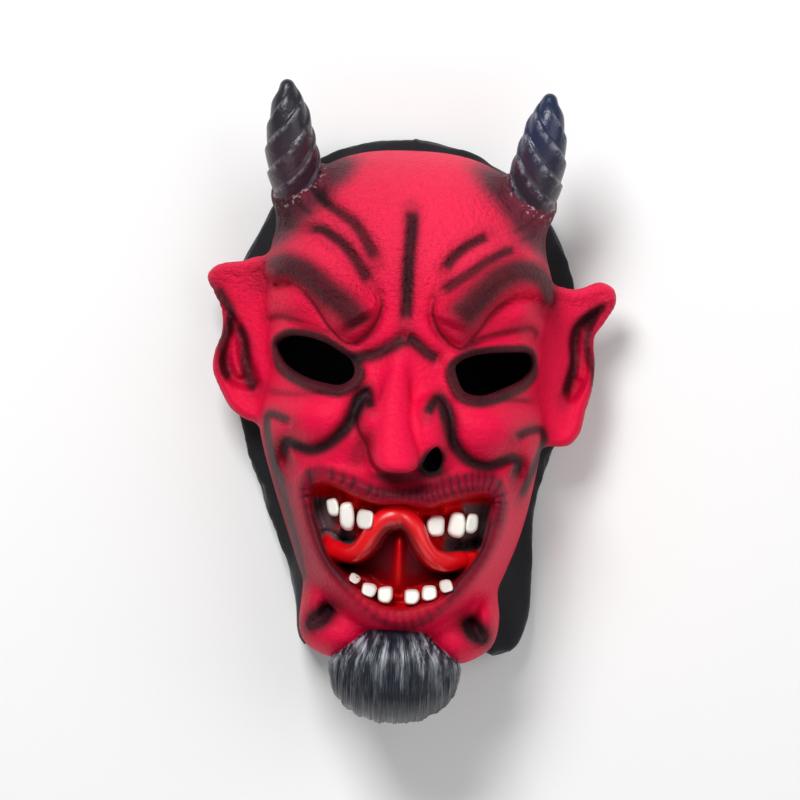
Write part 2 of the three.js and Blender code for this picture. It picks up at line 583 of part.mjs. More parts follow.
// Takes away the edges that change the shape least, until few triangles are left.
function simplified({ points, triangles }, wanted) {
  const faces = triangles.map((t) => [...t]);
  const alive = new Uint8Array(faces.length).fill(1);
  const around = points.map(() => new Set());
  const quadrics = points.map(() => new Float64Array(10));
  const version = new Uint32Array(points.length);
  const normalOf = (p, q, r) => {
    const [ax, ay, az] = [q[0] - p[0], q[1] - p[1], q[2] - p[2]];
    const [bx, by, bz] = [r[0] - p[0], r[1] - p[1], r[2] - p[2]];
    const v = [ay * bz - az * by, az * bx - ax * bz, ax * by - ay * bx];
    const length = Math.hypot(...v) || 1e-12;
    return [v[0] / length, v[1] / length, v[2] / length, length / 2];
  };
  faces.forEach((f, id) => {
    const [nx, ny, nz, area] = normalOf(...f.map((i) => points[i]));
    const d = -(nx * points[f[0]][0] + ny * points[f[0]][1] + nz * points[f[0]][2]);
    const q = [nx * nx, nx * ny, nx * nz, nx * d, ny * ny, ny * nz, ny * d, nz * nz, nz * d, d * d];
    for (const i of f) {
      around[i].add(id);
      q.forEach((v, m) => (quadrics[i][m] += v * area));
    }
  });
  const cost = (q, [x, y, z]) =>
    q[0] * x * x + 2 * q[1] * x * y + 2 * q[2] * x * z + 2 * q[3] * x + q[4] * y * y + 2 * q[5] * y * z +
    2 * q[6] * y + q[7] * z * z + 2 * q[8] * z + q[9];
  const bestPoint = (q, a, b) => {
    const m = new THREE.Matrix3().set(q[0], q[1], q[2], q[1], q[4], q[5], q[2], q[5], q[7]);
    const middle = [0, 1, 2].map((i) => (points[a][i] + points[b][i]) / 2);
    const tries = [points[a], points[b], middle];
    if (Math.abs(m.determinant()) > 1e-3) {
      const solved = new THREE.Vector3(-q[3], -q[6], -q[8]).applyMatrix3(m.invert()).toArray();
      if (Math.hypot(...solved.map((v, i) => v - middle[i])) < 6) tries.push(solved);
    }
    return tries.map((p) => [cost(q, p), p]).sort((one, two) => one[0] - two[0])[0];
  };
  const heap = [];
  const push = (item) => {
    let i = heap.push(item) - 1;
    while (i && heap[(i - 1) >> 1].cost > heap[i].cost) {
      const up = (i - 1) >> 1;
      [heap[i], heap[up]] = [heap[up], heap[i]];
      i = up;
    }
  };
  const pop = () => {
    const top = heap[0];
    const last = heap.pop();
    if (heap.length) {
      heap[0] = last;
      for (let i = 0; ; ) {
        let low = i;
        for (const c of [2 * i + 1, 2 * i + 2])
          if (c < heap.length && heap[c].cost < heap[low].cost) low = c;
        if (low === i) break;
        [heap[i], heap[low]] = [heap[low], heap[i]];
        i = low;
      }
    }
    return top;
  };
  const offer = (a, b) => {
    const q = quadrics[a].map((v, i) => v + quadrics[b][i]);
    const [value, point] = bestPoint(q, a, b);
    const length = Math.hypot(...points[a].map((v, i) => v - points[b][i]));
    push({ cost: value + 1e-4 * length, a, b, point, va: version[a], vb: version[b] });
  };
  const neighbours = (i) => new Set([...around[i]].flatMap((f) => faces[f]).filter((v) => v !== i));
  faces.forEach(([a, b, c]) => [[a, b], [b, c], [c, a]].forEach(([p, q]) => p < q && offer(p, q)));
  let left = faces.length;
  while (left > wanted && heap.length) {
    const { a, b, point, va, vb } = pop();
    if (version[a] !== va || version[b] !== vb) continue;
    const shared = [...around[a]].filter((f) => around[b].has(f));
    const [na, nb] = [neighbours(a), neighbours(b)];
    if (shared.length !== 2 || [...na].filter((v) => nb.has(v)).length !== 2) continue;
    const flips = [a, b].some((end) =>
      [...around[end]].some((f) => {
        if (shared.includes(f)) return false;
        const before = faces[f].map((i) => points[i]);
        const after = faces[f].map((i) => (i === end ? point : points[i]));
        const [p, q] = [normalOf(...before), normalOf(...after)];
        if (p[3] < SLIVER_AREA) return q[3] < p[3] * 0.999;
        return p[0] * q[0] + p[1] * q[1] + p[2] * q[2] < 0.3 || q[3] < SLIVER_AREA;
      }));
    if (flips) continue;
    points[a] = point;
    quadrics[a].forEach((v, i) => (quadrics[a][i] = v + quadrics[b][i]));
    for (const f of shared) {
      alive[f] = 0;
      faces[f].forEach((i) => around[i].delete(f));
      left--;
    }
    for (const f of around[b]) {
      faces[f] = faces[f].map((i) => (i === b ? a : i));
      around[a].add(f);
    }
    around[b] = new Set();
    version[b]++;
    version[a]++;
    for (const v of neighbours(a)) offer(a, v);
  }
  return { points, triangles: faces.filter((f, i) => alive[i]) };
}

function solidOf({ points, triangles }) {
  const used = new Map();
  const vertProperties = [];
  const triVerts = triangles.flat().map((i) => {
    if (!used.has(i)) {
      used.set(i, used.size);
      vertProperties.push(...points[i]);
    }
    return used.get(i);
  });
  return new wasm.Manifold(new wasm.Mesh({
    numProp: 3,
    vertProperties: Float32Array.from(vertProperties),
    triVerts: Uint32Array.from(triVerts),
  }));
}

// The cuts leave slivers of triangles; the cheapest collapses take them out again.
function cleaned(solid, share) {
  const { vertProperties, triVerts } = solid.getMesh();
  const threes = (values) =>
    Array.from({ length: values.length / 3 }, (_, i) => [...values.subarray(3 * i, 3 * i + 3)]);
  const [points, triangles] = [threes(vertProperties), threes(triVerts)];
  return solidOf(simplified({ points, triangles }, Math.round(triangles.length * share)));
}

function geometryOf(solid) {
  const { vertProperties, triVerts } = solid.getMesh();
  return new THREE.BufferGeometry()
    .setAttribute("position", new THREE.BufferAttribute(vertProperties, 3))
    .setIndex(new THREE.BufferAttribute(triVerts, 1));
}

// A body between two levels that follow the rim, as wide as the whole mask
function underRim(bottom, lowered) {
  const ys = Array.from({ length: 25 }, (_, i) => -160 + i * 13);
  const shape = new THREE.Shape([
    new THREE.Vector2(-160, bottom),
    new THREE.Vector2(152, bottom),
    ...ys.reverse().map((y) => new THREE.Vector2(y, rimZ(y) - lowered)),
  ]);
  const body = new THREE.ExtrudeGeometry(shape, { depth: 240, bevelEnabled: false });
  // The profile is drawn in (y, z) and run along x.
  body.applyMatrix4(new THREE.Matrix4().set(0, 0, 1, -120, 1, 0, 0, 0, 0, 1, 0, 0, 0, 0, 0, 1));
  return solidOfGeometry(body);
}

function solidOfGeometry(geometry) {
  const bare = new THREE.BufferGeometry().setAttribute("position", geometry.getAttribute("position"));
  if (geometry.index) bare.setIndex(geometry.index);
  const merged = mergeVertices(bare, 1e-4);
  return new wasm.Manifold(new wasm.Mesh({
    numProp: 3,
    vertProperties: merged.getAttribute("position").array,
    triVerts: Uint32Array.from(merged.index.array),
  }));
}

// A straight hole along Z through the outline of an eye or a nostril
function hole(points, bottom, top) {
  const flat = points.map(([x, y]) => new THREE.Vector3(x, y, 0));
  const curve = new THREE.CatmullRomCurve3(flat, true, "centripetal");
  const shape = new THREE.Shape(curve.getPoints(22).slice(0, -1).map((p) => new THREE.Vector2(p.x, p.y)));
  const body = new THREE.ExtrudeGeometry(shape, { depth: top - bottom, bevelEnabled: false });
  return solidOfGeometry(body.translate(0, 0, bottom));
}

// A tooth is a block with rounded corners that stands on the floor of the mouth.
function tooth([cx, cy, hx, hy, lean]) {
  const outline = Array.from({ length: TOOTH_CORNERS }, (_, i) => {
    const turn = ((i + 0.5) / TOOTH_CORNERS) * 2 * Math.PI;
    const [c, s] = [Math.cos(turn), Math.sin(turn)];
    const reach = (c ** 4 + s ** 4) ** -0.25;
    return new THREE.Vector2(hx * c * reach, hy * s * reach);
  });
  const depth = TOOTH_ROOT + TOOTH_RISE;
  const body = new THREE.ExtrudeGeometry(new THREE.Shape(outline), { depth, bevelEnabled: false });
  let floor = FOREHEAD_Z;
  while (casting(cx, cy, floor) > 0) floor -= 0.5;
  return solidOfGeometry(body.rotateZ(lean).translate(cx, cy, floor - TOOTH_ROOT));
}

// The largest of the bodies of a solid; small leftovers and sealed bubbles go.
const mainBody = (solid) => solid.decompose().sort((a, b) => b.volume() - a.volume())[0];

// The hood's outline as it bulges round the mask, seen from the front
const HOOD_OUTLINE = line(
  [[-42, -117], [-47, -95], [-53, -76], [-62, -55], [-73, -25], [-79, 0], [-81, 30], [-79, 60], [-70, 80],
   [-57, 103], [-42, 115], [-24, 121], [2, 124], [24, 120], [45, 110], [58, 99], [69, 84], [79, 60],
   [82, 30], [79, 0], [70, -30], [65, -50], [65, -80], [63, -105], [56, -117], [0, -121]],
  true,
);
function bag(x, y, z) {
  const rim = rimZ(y);
  const up = clamp(z / rim, 0, 1);
  const plan = HOOD_OUTLINE(x, y).d;
  const edge = head(x, y, rim) - 1;
  const w = step(0.55, 1, up);
  return plan * (1 - w) + Math.max(plan, edge) * w + 6 * (1 - step(-0.15, 0.45, z / RIM_Z));
}

const [NEAR, FAR] = [[-99, -156, 12], [105, 152, 139]];
const outer = mainBody(solidOf(simplified(surfaceOf(casting, NEAR, FAR, SCULPT_STEP), OUTER_TRIANGLES)));
const inner = mainBody(
  solidOf(simplified(surfaceOf(hollow, [-75, -150, 3], [75, 150, 130], HOLLOW_STEP), HOLLOW_TRIANGLES)));
const shell = mainBody(outer.subtract(inner).subtract(underRim(-20, 0)));
const pierced = [...EYE_POINTS.map((points) => hole(points, 20, 130)), hole(NOSTRIL, 60, 135)]
  .reduce((body, one) => body.subtract(one), shell);
const toothed = [...UPPER_TEETH, ...LOWER_TEETH].map(tooth).reduce((body, one) => body.add(one), pierced);
const mask = cleaned(mainBody(toothed), 0.93);

const bagSurface = (inset, floor, top) =>
  solidOf(simplified(surfaceOf(
    (x, y, z) => Math.max(bag(x, y, z) + inset, floor - z, z - top),
    [-90, -129, floor - 6], [91, 132, top + 6], HOLLOW_STEP), BAG_TRIANGLES));
const neck = solidOfGeometry(new THREE.BoxGeometry(86, 40, 100).translate(3, -129, 50 + FABRIC));
const hoodShell = bagSurface(0, -8, 60)
  .intersect(underRim(0, SEAM_GAP))
  .subtract(bagSurface(FABRIC + 0.4, FABRIC, 66))
  .subtract(neck);
const hood = cleaned(mainBody(hoodShell), 0.82);

const group = new THREE.Group();
for (const [name, solid, color, roughness] of [
  ["latex_mask", mask, 0xd81e3a, 0.6],
  ["hood", hood, 0x14141a, 0.9],
]) {
  const mesh = new THREE.Mesh(geometryOf(solid), new THREE.MeshStandardMaterial({ color, roughness }));
  mesh.name = name;
  group.add(mesh);
}

// The origin goes to the middle of the whole outline, on the ground.
const middle = new THREE.Box3().setFromObject(group).getCenter(new THREE.Vector3());
group.position.set(-middle.x, -middle.y, 0);

export default group;
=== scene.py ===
# A hooded devil mask that lies face up on a pale floor.
# Sculpting is done in millimetres in the mask's own frame.
# +Z points out of the face, +Y to the horns and +X to the viewer's right.
import math

import bmesh
import bpy
import numpy as np
from mathutils import Matrix, Vector


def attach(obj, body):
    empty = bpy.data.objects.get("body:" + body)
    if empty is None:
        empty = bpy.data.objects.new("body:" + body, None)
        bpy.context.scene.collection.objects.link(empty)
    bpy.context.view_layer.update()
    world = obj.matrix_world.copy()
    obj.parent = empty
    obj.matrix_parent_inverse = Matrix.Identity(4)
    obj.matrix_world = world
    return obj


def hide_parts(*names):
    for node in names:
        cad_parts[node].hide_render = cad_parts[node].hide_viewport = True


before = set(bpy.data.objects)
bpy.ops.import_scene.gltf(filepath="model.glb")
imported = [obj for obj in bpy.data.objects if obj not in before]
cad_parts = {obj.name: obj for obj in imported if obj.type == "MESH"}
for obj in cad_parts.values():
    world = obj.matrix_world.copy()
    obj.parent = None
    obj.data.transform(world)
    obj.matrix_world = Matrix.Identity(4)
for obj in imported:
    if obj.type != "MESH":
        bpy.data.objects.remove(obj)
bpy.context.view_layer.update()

# Sizes and places of the sculpture. A height is measured along Z.
WALL = 3.0
SHIFT = np.array([-2.82, 1.45])  # from the mask's frame to the row's
RIM_Z = 22.0
CHIN_RIM_RISE = 30.0
HALF_W = 66.5
TOP_Y, TEMPLE_Y, CHEEK_Y, BOTTOM_Y = 118.0, 48.0, -18.0, -126.0
ROOT_Z, FRONT_Z = 6.0, 104.0
POWER, CHIN_POWER = 2.6, 1.1  # how squarely the head is rounded
FADE_Z = (18.0, 60.0)  # the relief sets in between these heights
MOUTH_X = 2.0
FRENULUM_X = 1.5
MOUTH_DEPTH = 19.0
TONGUE_RISE = 12.5
TOOTH_RISE = 10.0
RAYS_FROM = 200.0  # a height above the whole face


def step(low, high, v):
    """Smoothly from 0 at low to 1 at high"""
    t = np.clip((v - low) / (high - low), 0.0, 1.0)
    return t * t * (3 - 2 * t)


def bell(d, w):
    """1 at no distance, and almost 0 from twice the width on"""
    return np.exp(-((d / w) ** 2))


def smin(a, b, k):
    """The smaller of two distances, blended where they differ by less than k"""
    h = np.maximum(k - np.abs(a - b), 0) / k
    return np.minimum(a, b) - h * h * k / 4


def smax(a, b, k):
    return -smin(-a, -b, k)


def unit(v):
    return v / np.linalg.norm(v, axis=-1, keepdims=True)


def ellipsoid(x, y, z, c, r):
    """About the distance to an ellipsoid, negative inside it"""
    px, py, pz = (x - c[0]) / r[0], (y - c[1]) / r[1], (z - c[2]) / r[2]
    k0 = np.sqrt(px * px + py * py + pz * pz)
    k1 = np.sqrt((px / r[0]) ** 2 + (py / r[1]) ** 2 + (pz / r[2]) ** 2) + 1e-9
    return k0 * (k0 - 1) / k1


def nearest(x, y, z, forms):
    return np.minimum.reduce([ellipsoid(x, y, z, *form) for form in forms])


def catmull(points, closed, per=6):
    """A centripetal Catmull-Rom curve through the points"""
    p = np.array(points, float)
    if closed:
        q = np.vstack([p[-1], p, p[0], p[1]])
    else:
        q = np.vstack([2 * p[0] - p[1], p, 2 * p[-1] - p[-2]])
    out = []
    for a, b, c, d in zip(q, q[1:], q[2:], q[3:]):
        ta, tb, tc = (max(np.linalg.norm(v), 1e-6) ** 0.5 for v in (b - a, c - b, d - c))
        m1 = ((b - a) / ta - (c - a) / (ta + tb) + (c - b) / tb) * tb
        m2 = ((c - b) / tb - (d - b) / (tb + tc) + (d - c) / tc) * tb
        for s in np.arange(per) / per:
            out.append(b + m1 * s + (3 * (c - b) - 2 * m1 - m2) * s * s + (2 * (b - c) + m1 + m2) * s**3)
    out.append(q[-2])
    return np.array(out)


class Line:
    """A smooth line, seen from the front"""

    def __init__(self, points, closed=False, per=5):
        self.dots = catmull(points, closed, per)
        self.closed = closed

    def at(self, x, y, pad=30.0):
        """Distance up to pad, negative inside a closed line, and how far along the line, from 0 to 1"""
        x, y = np.broadcast_arrays(x, y)
        shape = x.shape
        x, y = x.ravel(), y.ravel()
        distance = np.full(x.size, pad)
        along = np.zeros(x.size)
        lo, hi = self.dots.min(0) - pad, self.dots.max(0) + pad
        near = np.nonzero((x > lo[0]) & (x < hi[0]) & (y > lo[1]) & (y < hi[1]))[0]
        if near.size:
            px, py = x[near], y[near]
            best = np.full(near.size, 1e12)
            t_best = np.zeros(near.size)
            inside = np.zeros(near.size, bool)
            count = len(self.dots) - 1
            for i in range(count):
                ax, ay = self.dots[i]
                ex, ey = self.dots[i + 1] - self.dots[i]
                t = np.clip(((px - ax) * ex + (py - ay) * ey) / (ex * ex + ey * ey + 1e-12), 0, 1)
                squared = (px - ax - t * ex) ** 2 + (py - ay - t * ey) ** 2
                m = squared < best
                best[m] = squared[m]
                t_best[m] = (i + t[m]) / count
                if self.closed:
                    crossed = (ay > py) != (ay + ey > py)
                    inside ^= crossed & (px < ax + (py - ay) * ex / (ey if ey else 1e-12))
            best = np.sqrt(best)
            distance[near] = np.where(inside, -best, best)
            along[near] = t_best
        return distance.reshape(shape), along.reshape(shape)

    def distance(self, x, y, pad=30.0):
        return self.at(x, y, pad)[0]


class Stroke:
    """A ridge or groove pressed along a line, thinning out at its ends"""

    def __init__(self, points, width, rise, end=None, fade=0.12):
        self.line = Line(points)
        self.rise, self.fade = rise, fade
        self.start, self.end = width, width if end is None else end

    def __call__(self, x, y):
        d, t = self.line.at(x, y, 16.0)
        width = self.start + (self.end - self.start) * t
        return self.rise * bell(d, width) * (step(0, self.fade, t + 0.02) * step(0, self.fade, 1.02 - t))


def mound(x, y, c, r, rise, turn=0.0):
    """A soft oval hill, or a hollow where rise is negative"""
    cs, sn = math.cos(turn), math.sin(turn)
    u = (x - c[0]) * cs + (y - c[1]) * sn
    v = (y - c[1]) * cs - (x - c[0]) * sn
    return rise * np.exp(-((u / r[0]) ** 2) - (v / r[1]) ** 2)


# Outlines, seen from the front.
LEFT_EYE = Line(
    [(-58.5, 24), (-54, 27.3), (-46, 27.5), (-38, 25.5), (-30, 21.5), (-23.5, 16.5), (-22.5, 10.5), (-28, 6),
     (-37, 6.7), (-47, 10), (-55, 15.5)], True)
RIGHT_EYE = Line(
    [(24, 16.5), (30, 20.8), (38, 22.8), (48, 23.8), (57.5, 23.6), (59, 18), (55, 12), (46, 7), (36, 3.4),
     (28.5, 5), (25, 11)], True)
NOSTRIL = Line(
    [(10.6, -30), (11.8, -26), (14.2, -22.2), (16.8, -20.6), (18.8, -23.4), (18.9, -27.5), (17.2, -31),
     (13.8, -32)], True)
MOUTH = Line(
    [(-38.5, -41.5), (-33, -40), (-27.4, -41.4), (-21.8, -43.9), (-15.5, -46.1), (-8, -48), (3, -47.5),
     (14.2, -48.6), (21.5, -46.2), (32.5, -43.3), (40.5, -42.6), (43.3, -44.6), (42.6, -50.6),
     (41.6, -56.8), (38.4, -68), (30.2, -79.4), (22, -89), (12.3, -93.2), (3.7, -95.3), (-6.2, -94),
     (-15.7, -87.8), (-22.7, -81.9), (-30.5, -73.2), (-35.2, -62.3), (-39.4, -48.9)], True)
LIP = Line(
    [(-44, -41), (-33, -37.5), (-20, -39.5), (-8, -43), (2, -43.5), (12, -43.5), (24, -40.5), (35, -38),
     (46, -41), (47, -52), (43, -67), (34, -82), (20, -95), (3, -101.5), (-12, -97), (-27, -84), (-37, -69),
     (-42, -55)], True)
LIP_OUTER = Line(
    [(-46, -37), (-38, -31), (-28, -32.5), (-18, -36), (-8, -39.5), (2, -40), (12, -37.5), (22, -33.5),
     (34, -31), (45, -32), (50.5, -41), (51, -50), (49, -60), (43, -73), (35, -85), (26, -94), (15, -103.5),
     (4, -107.3), (-8, -102), (-20, -92), (-32, -80), (-40, -65), (-44, -52)], True)
TONGUE_EDGE = Line(
    [(-32, -65.5), (-28, -70), (-22.8, -71.8), (-17.6, -70.4), (-13.3, -66), (-10.2, -60.8), (-6.6, -56.2),
     (-3, -54.4), (0.7, -54), (4.2, -54.8), (7.7, -58), (10.4, -63), (13.3, -67.8), (17.3, -72),
     (23.3, -73.9), (30.3, -72.6), (36.5, -69.8)])
TONGUE_ROLL = [
    (-31.5, -65), (-28, -69.6), (-22.8, -71.4), (-17.6, -70.2), (-13.3, -66), (-10.2, -60.8), (-6.6, -56.2),
    (-3, -54.3), (0.7, -53.8), (4.2, -54.7), (7.7, -58), (10.4, -63), (13.3, -67.6), (17.3, -71.8),
    (23.3, -73.6), (30.3, -72.3), (37, -69.6)]
TONGUE_W, TONGUE_R = 5.2, 4.2  # half widths of its edge in the casting and of the roll over it

# Middle, half width and half height of each tooth, and how far it leans, the upper row first.
TEETH = [
    (-29.8, -50.5, 2.7, 4.3, 0.2), (-23.1, -54.4, 3.5, 6.5, 0.05), (-14.8, -55.3, 4.0, 4.4, -0.1),
    (17.9, -57.2, 4.3, 4.7, 0.05), (27.5, -56.5, 4.0, 5.8, -0.12), (34.4, -55.5, 2.9, 4.6, -0.08),
    (-18.4, -82.7, 2.6, 1.9, -0.55), (-11.6, -87.6, 3.3, 3.1, -0.25), (-4.1, -89.6, 3.5, 3.8, 0.0),
    (8.1, -90.1, 3.5, 3.5, 0.03), (16.1, -88.1, 3.6, 3.4, 0.12), (23.6, -84.5, 3.1, 2.8, 0.3),
]
TEETH_MIDDLE_Y = -70.0  # between the rows
TOOTH_POWER = 3.2  # how squarely a tooth's outline is rounded


class Pillow:
    """A brow that swells up steeply from the crease under it and runs out softly into the forehead"""

    STEEP, SOFT = 8.0, 13.0  # over how many millimetres each side rises

    def __init__(self, crease, top, rise):
        self.crease, self.rise = Line(crease), rise
        self.top = Line([crease[0], *top, crease[-1]])
        self.outline = Line(crease + top[::-1], True)

    def __call__(self, x, y):
        inside = step(0.3, -0.3, self.outline.distance(x, y, 20.0))
        low = np.clip(self.crease.distance(x, y, 20.0) / self.STEEP, 0, 1)
        high = step(0, self.SOFT, self.top.distance(x, y, 20.0))
        return self.rise * inside * np.sqrt(1 - (1 - low) ** 2) * high


LEFT_CREASE = [
    (-67, 47), (-58, 53), (-49, 49.5), (-41, 41), (-34, 31), (-25, 24.5), (-16, 31), (-10.7, 42), (-13, 51)]
RIGHT_CREASE = [
    (65, 39), (61, 49), (51, 50.5), (40, 42), (32, 30.5), (25.5, 24), (16.5, 30.5), (12.3, 40), (13, 48)]
BROWS = [
    Stroke([(-64, 53), (-60, 61), (-50, 61), (-38, 53), (-27, 43), (-21, 34)], 7, 6, 10.5, 0.1),
    Stroke([(66, 45), (66, 54), (58, 63), (46, 62), (33, 52), (24, 42), (20.5, 34)], 6.5, 6, 10.5, 0.1),
    Pillow(LEFT_CREASE, [(-68, 57), (-60, 67), (-46, 66), (-31, 60), (-20, 56)], 6),
    Pillow(RIGHT_CREASE, [(69, 51), (62, 65), (48, 70), (34, 64), (22, 55)], 6),
]
GROOVES = [
    Stroke([(1, 87), (0.6, 60), (0.3, 34)], 2.8, -2.1),
    Stroke([(1, 29), (-6, 25.5), (-13, 20.5), (-24, 17.5)], 3.2, -3, fade=0.05),
    Stroke([(1, 29), (7, 25.5), (12, 21.5), (17, 18.5)], 3.1, -2.7),
    Stroke([(-45, 99), (-38, 89), (-27, 82), (-19, 73), (-13.5, 62)], 3.1, -2.2),
    Stroke([(-50, 77), (-41, 77.5), (-31, 70.5), (-23, 62), (-16, 52.5)], 3.1, -2.2),
    Stroke([(-44, 74), (-36, 66.5), (-24, 57.5)], 1.5, -1),
    Stroke([(16.5, 58), (20, 64.5), (28, 71.5), (39, 78)], 3, -2.1),
    Stroke([(14.5, 50), (22, 53), (33, 61), (42, 67.5), (52, 71)], 3, -2.2),
    Stroke([(-12.5, 50), (-11.2, 42), (-14, 32), (-23, 24.5)], 2, -2.2, fade=0.05),
    Stroke([(12.5, 48), (11.5, 40), (15.5, 31), (25, 24.5)], 2, -2.2, fade=0.05),
    Stroke([(-24, 24.5), (-33, 30), (-41, 42), (-50, 51.5), (-62, 51)], 2.4, -2.2, fade=0.05),
    Stroke([(26, 24.5), (31, 31), (40, 42.5), (50, 50.5), (60, 50), (64, 41)], 2.4, -2.4, fade=0.05),
    Stroke([(-64.5, 34), (-58, 36), (-48, 33.5), (-37, 30.5)], 1.5, -1.8),
    Stroke([(31, 27), (42, 31), (56, 35), (62, 31.5)], 1.5, -1.8),
    Stroke([(-64, 0.5), (-50, 1.5), (-34, 0.5)], 1.9, -1.4),
    Stroke([(64, 2), (50, 2.2), (36, 1)], 1.9, -1.4),
    Stroke([(-17, 4.5), (-21, -5), (-25.5, -14), (-33, -21.5), (-42, -24), (-50, -21), (-53.5, -26),
            (-52, -36)], 3.5, -4.1),
    Stroke([(17, 2.5), (21, -6), (24, -17), (31, -26), (41, -29), (51, -24.5), (56.5, -27),
            (54, -37)], 3.4, -4.1),
    Stroke([(-49, -13.5), (-55, -10.5), (-61.5, -9.5), (-62, -20), (-58, -36), (-53, -50)], 2.4, -2.1),
    Stroke([(52, -16), (58, -11.5), (65, -11), (66.5, -18), (61, -36)], 2.4, -2.1),
    Stroke([(-57, -48), (-50, -68), (-43.5, -90)], 2.1, -1.7),
    Stroke([(-12.5, -6), (-14, 0), (-17, 4.5)], 2.2, -2),
    Stroke([(-21, -7), (-19.5, -15), (-15.8, -21), (-14.2, -26), (-12.8, -31), (-8.5, -35.5)], 2.2, -2.2),
    Stroke([(11.5, -7), (13, -2), (17, 2.5)], 2.2, -2),
    Stroke([(-40, -105), (-33, -102), (-28, -97)], 5.2, -4.5),
    Stroke([(33, -101), (37, -106), (44, -111)], 5.5, -4.5),
]
# Middle, half sizes, rise and turn of each broad swelling or hollow.
MOUNDS = [
    ((0, 62), (16, 30), 2.5, 0), ((-54, 43), (11, 8), 6.5, 0), ((55, 42), (10, 9), 6.5, 0),
    ((-42, 15), (25, 13), -6, 0), ((42, 13), (25, 13), -6, 0),
    ((-42, -9), (19, 13), 10, 0.15), ((43, -11), (19, 13), 10, -0.15),
    ((-60, -28), (6, 16), 3, 0.15), ((61, -26), (6, 16), 3, -0.15),
]


def eye_holes(x, y):
    """Distance to the nearer eye hole"""
    return np.minimum(LEFT_EYE.distance(x, y), RIGHT_EYE.distance(x, y))


def skin_relief(x, y):
    """The carving of the face without its mouth"""
    h = np.zeros(np.broadcast(x, y).shape)
    for one in BROWS + GROOVES:
        h = h + one(x, y)
    for c, r, rise, turn in MOUNDS:
        h = h + mound(x, y, c, r, rise, turn)
    # rolled edges round the eye holes and the nostril
    h = h + 3.2 * bell(eye_holes(x, y) - 2.8, 3.0)
    return h + 1.6 * bell(NOSTRIL.distance(x, y, 12.0) - 2, 2.2)


def tooth_r(x, y, tooth):
    """0 in the middle of a tooth and 1 at its outline"""
    cx, cy, hx, hy, lean = tooth
    c, s = math.cos(lean), math.sin(lean)
    u = ((x - cx) * c + (y - cy) * s) / hx
    v = ((y - cy) * c - (x - cx) * s) / hy
    return (np.abs(u) ** TOOTH_POWER + np.abs(v) ** TOOTH_POWER) ** (1 / TOOTH_POWER)


def mouth_relief(x, y):
    """How far the inside of the mouth lies under its lips, as negative numbers"""
    d = MOUTH.distance(x, y)
    edge = TONGUE_EDGE.distance(x, y)
    lobes = step(-50, -60, y - 0.2 * np.abs(x)) * step(-96, -84, y) * bell(x - MOUTH_X, 30)
    frenulum_w = 1.6 + np.maximum(0, -62 - y) * 0.05
    frenulum = bell(x - FRENULUM_X, frenulum_w) * step(-58, -66, y) * step(-97, -90, y)
    roll = np.sqrt(np.clip(1 - (edge / TONGUE_W) ** 2, 0, 1))
    ends = step(24, 29, np.abs(x - MOUTH_X)) * step(-70, -60, y)
    floor = -MOUTH_DEPTH + TONGUE_RISE * np.maximum(roll, 0.85 * ends) + 2 * lobes + 4 * frenulum
    upper_gum = step(-9, -3.5, d) * step(-57, -51, y) * step(-29, -23, x)
    lower_gum = step(-10, -4, d) * step(-76, -83, y)
    corner = step(16, 22, np.abs(x - 1)) * step(-68, -62, y)
    floor = np.maximum(floor, -MOUTH_DEPTH + 5 * corner + 6 * upper_gum + 6.5 * lower_gum)
    for one in TEETH:
        r = tooth_r(x, y, one)
        floor = floor + TOOTH_RISE * step(1.05, 0.65, r) * (1 - 0.1 * r * r)
    return np.where(d > 3, 0.0, step(1.2, -2.6, d) * floor)


def lip_folds(t):
    """From 0 in the wrinkles across the lips to 1 between them"""
    turns = 35 * t + 36 * np.maximum(t - 0.14, 0)
    return np.abs(np.sin(math.pi * turns + 0.9 * np.sin(t * 61 + 1))) ** 0.7


def lip_sides(x, y):
    """1 on both smooth stretches of the lips, beside the mouth"""
    return step(-46, -55, y) * step(15, 27, np.abs(x - MOUTH_X))


def relief(x, y):
    """All the carving of the face"""
    h = skin_relief(x, y)
    d, t = LIP.at(x, y)
    upper = step(-52, -44, y)
    lips = (5.5 + upper * 0.5) * bell(d, 5.2)
    lips = lips + (0.5 + 0.9 * upper) * (1 - lip_sides(x, y)) * (lip_folds(t) - 0.6) * bell(d + 1, 5)
    mouth = mouth_relief(x, y)
    inside = h * 0.4 + np.minimum(lips, 3) * step(-6, 0, mouth) + mouth
    return np.where(mouth < -0.01, inside, h + lips)


# The forms in depth.
def midline(y):
    """The middle of the face, which moves to the viewer's right towards the chin"""
    return 0.5 + 2.6 * step(-10, -70, y)


def plan_parts(x, y):
    """How far a place lies to the side, up and down, each from 0 to 1 at the head's outline"""
    wide = np.abs(x - midline(y)) / HALF_W
    up = np.maximum(0, y - TEMPLE_Y) / (TOP_Y - TEMPLE_Y)
    down = np.maximum(0, CHEEK_Y - y) / (CHEEK_Y - BOTTOM_Y)
    return wide, up, down


def head_plan(x, y):
    """From 0 in the middle of the face to 1 at its outline"""
    wide, up, down = plan_parts(x, y)
    return wide**POWER + up**POWER + down**CHIN_POWER


def rim_z(y):
    return RIM_Z + CHIN_RIM_RISE * step(-55, -120, y)


def at(z, i):
    """The heights of the points numbered i, where z may be one height for all"""
    return z if np.ndim(z) == 0 else z[i]


def reaches(z, low, high):
    return np.max(z) > low and np.min(z) < high


MUZZLE = ((2, -66, 50), (45, 50, 57))


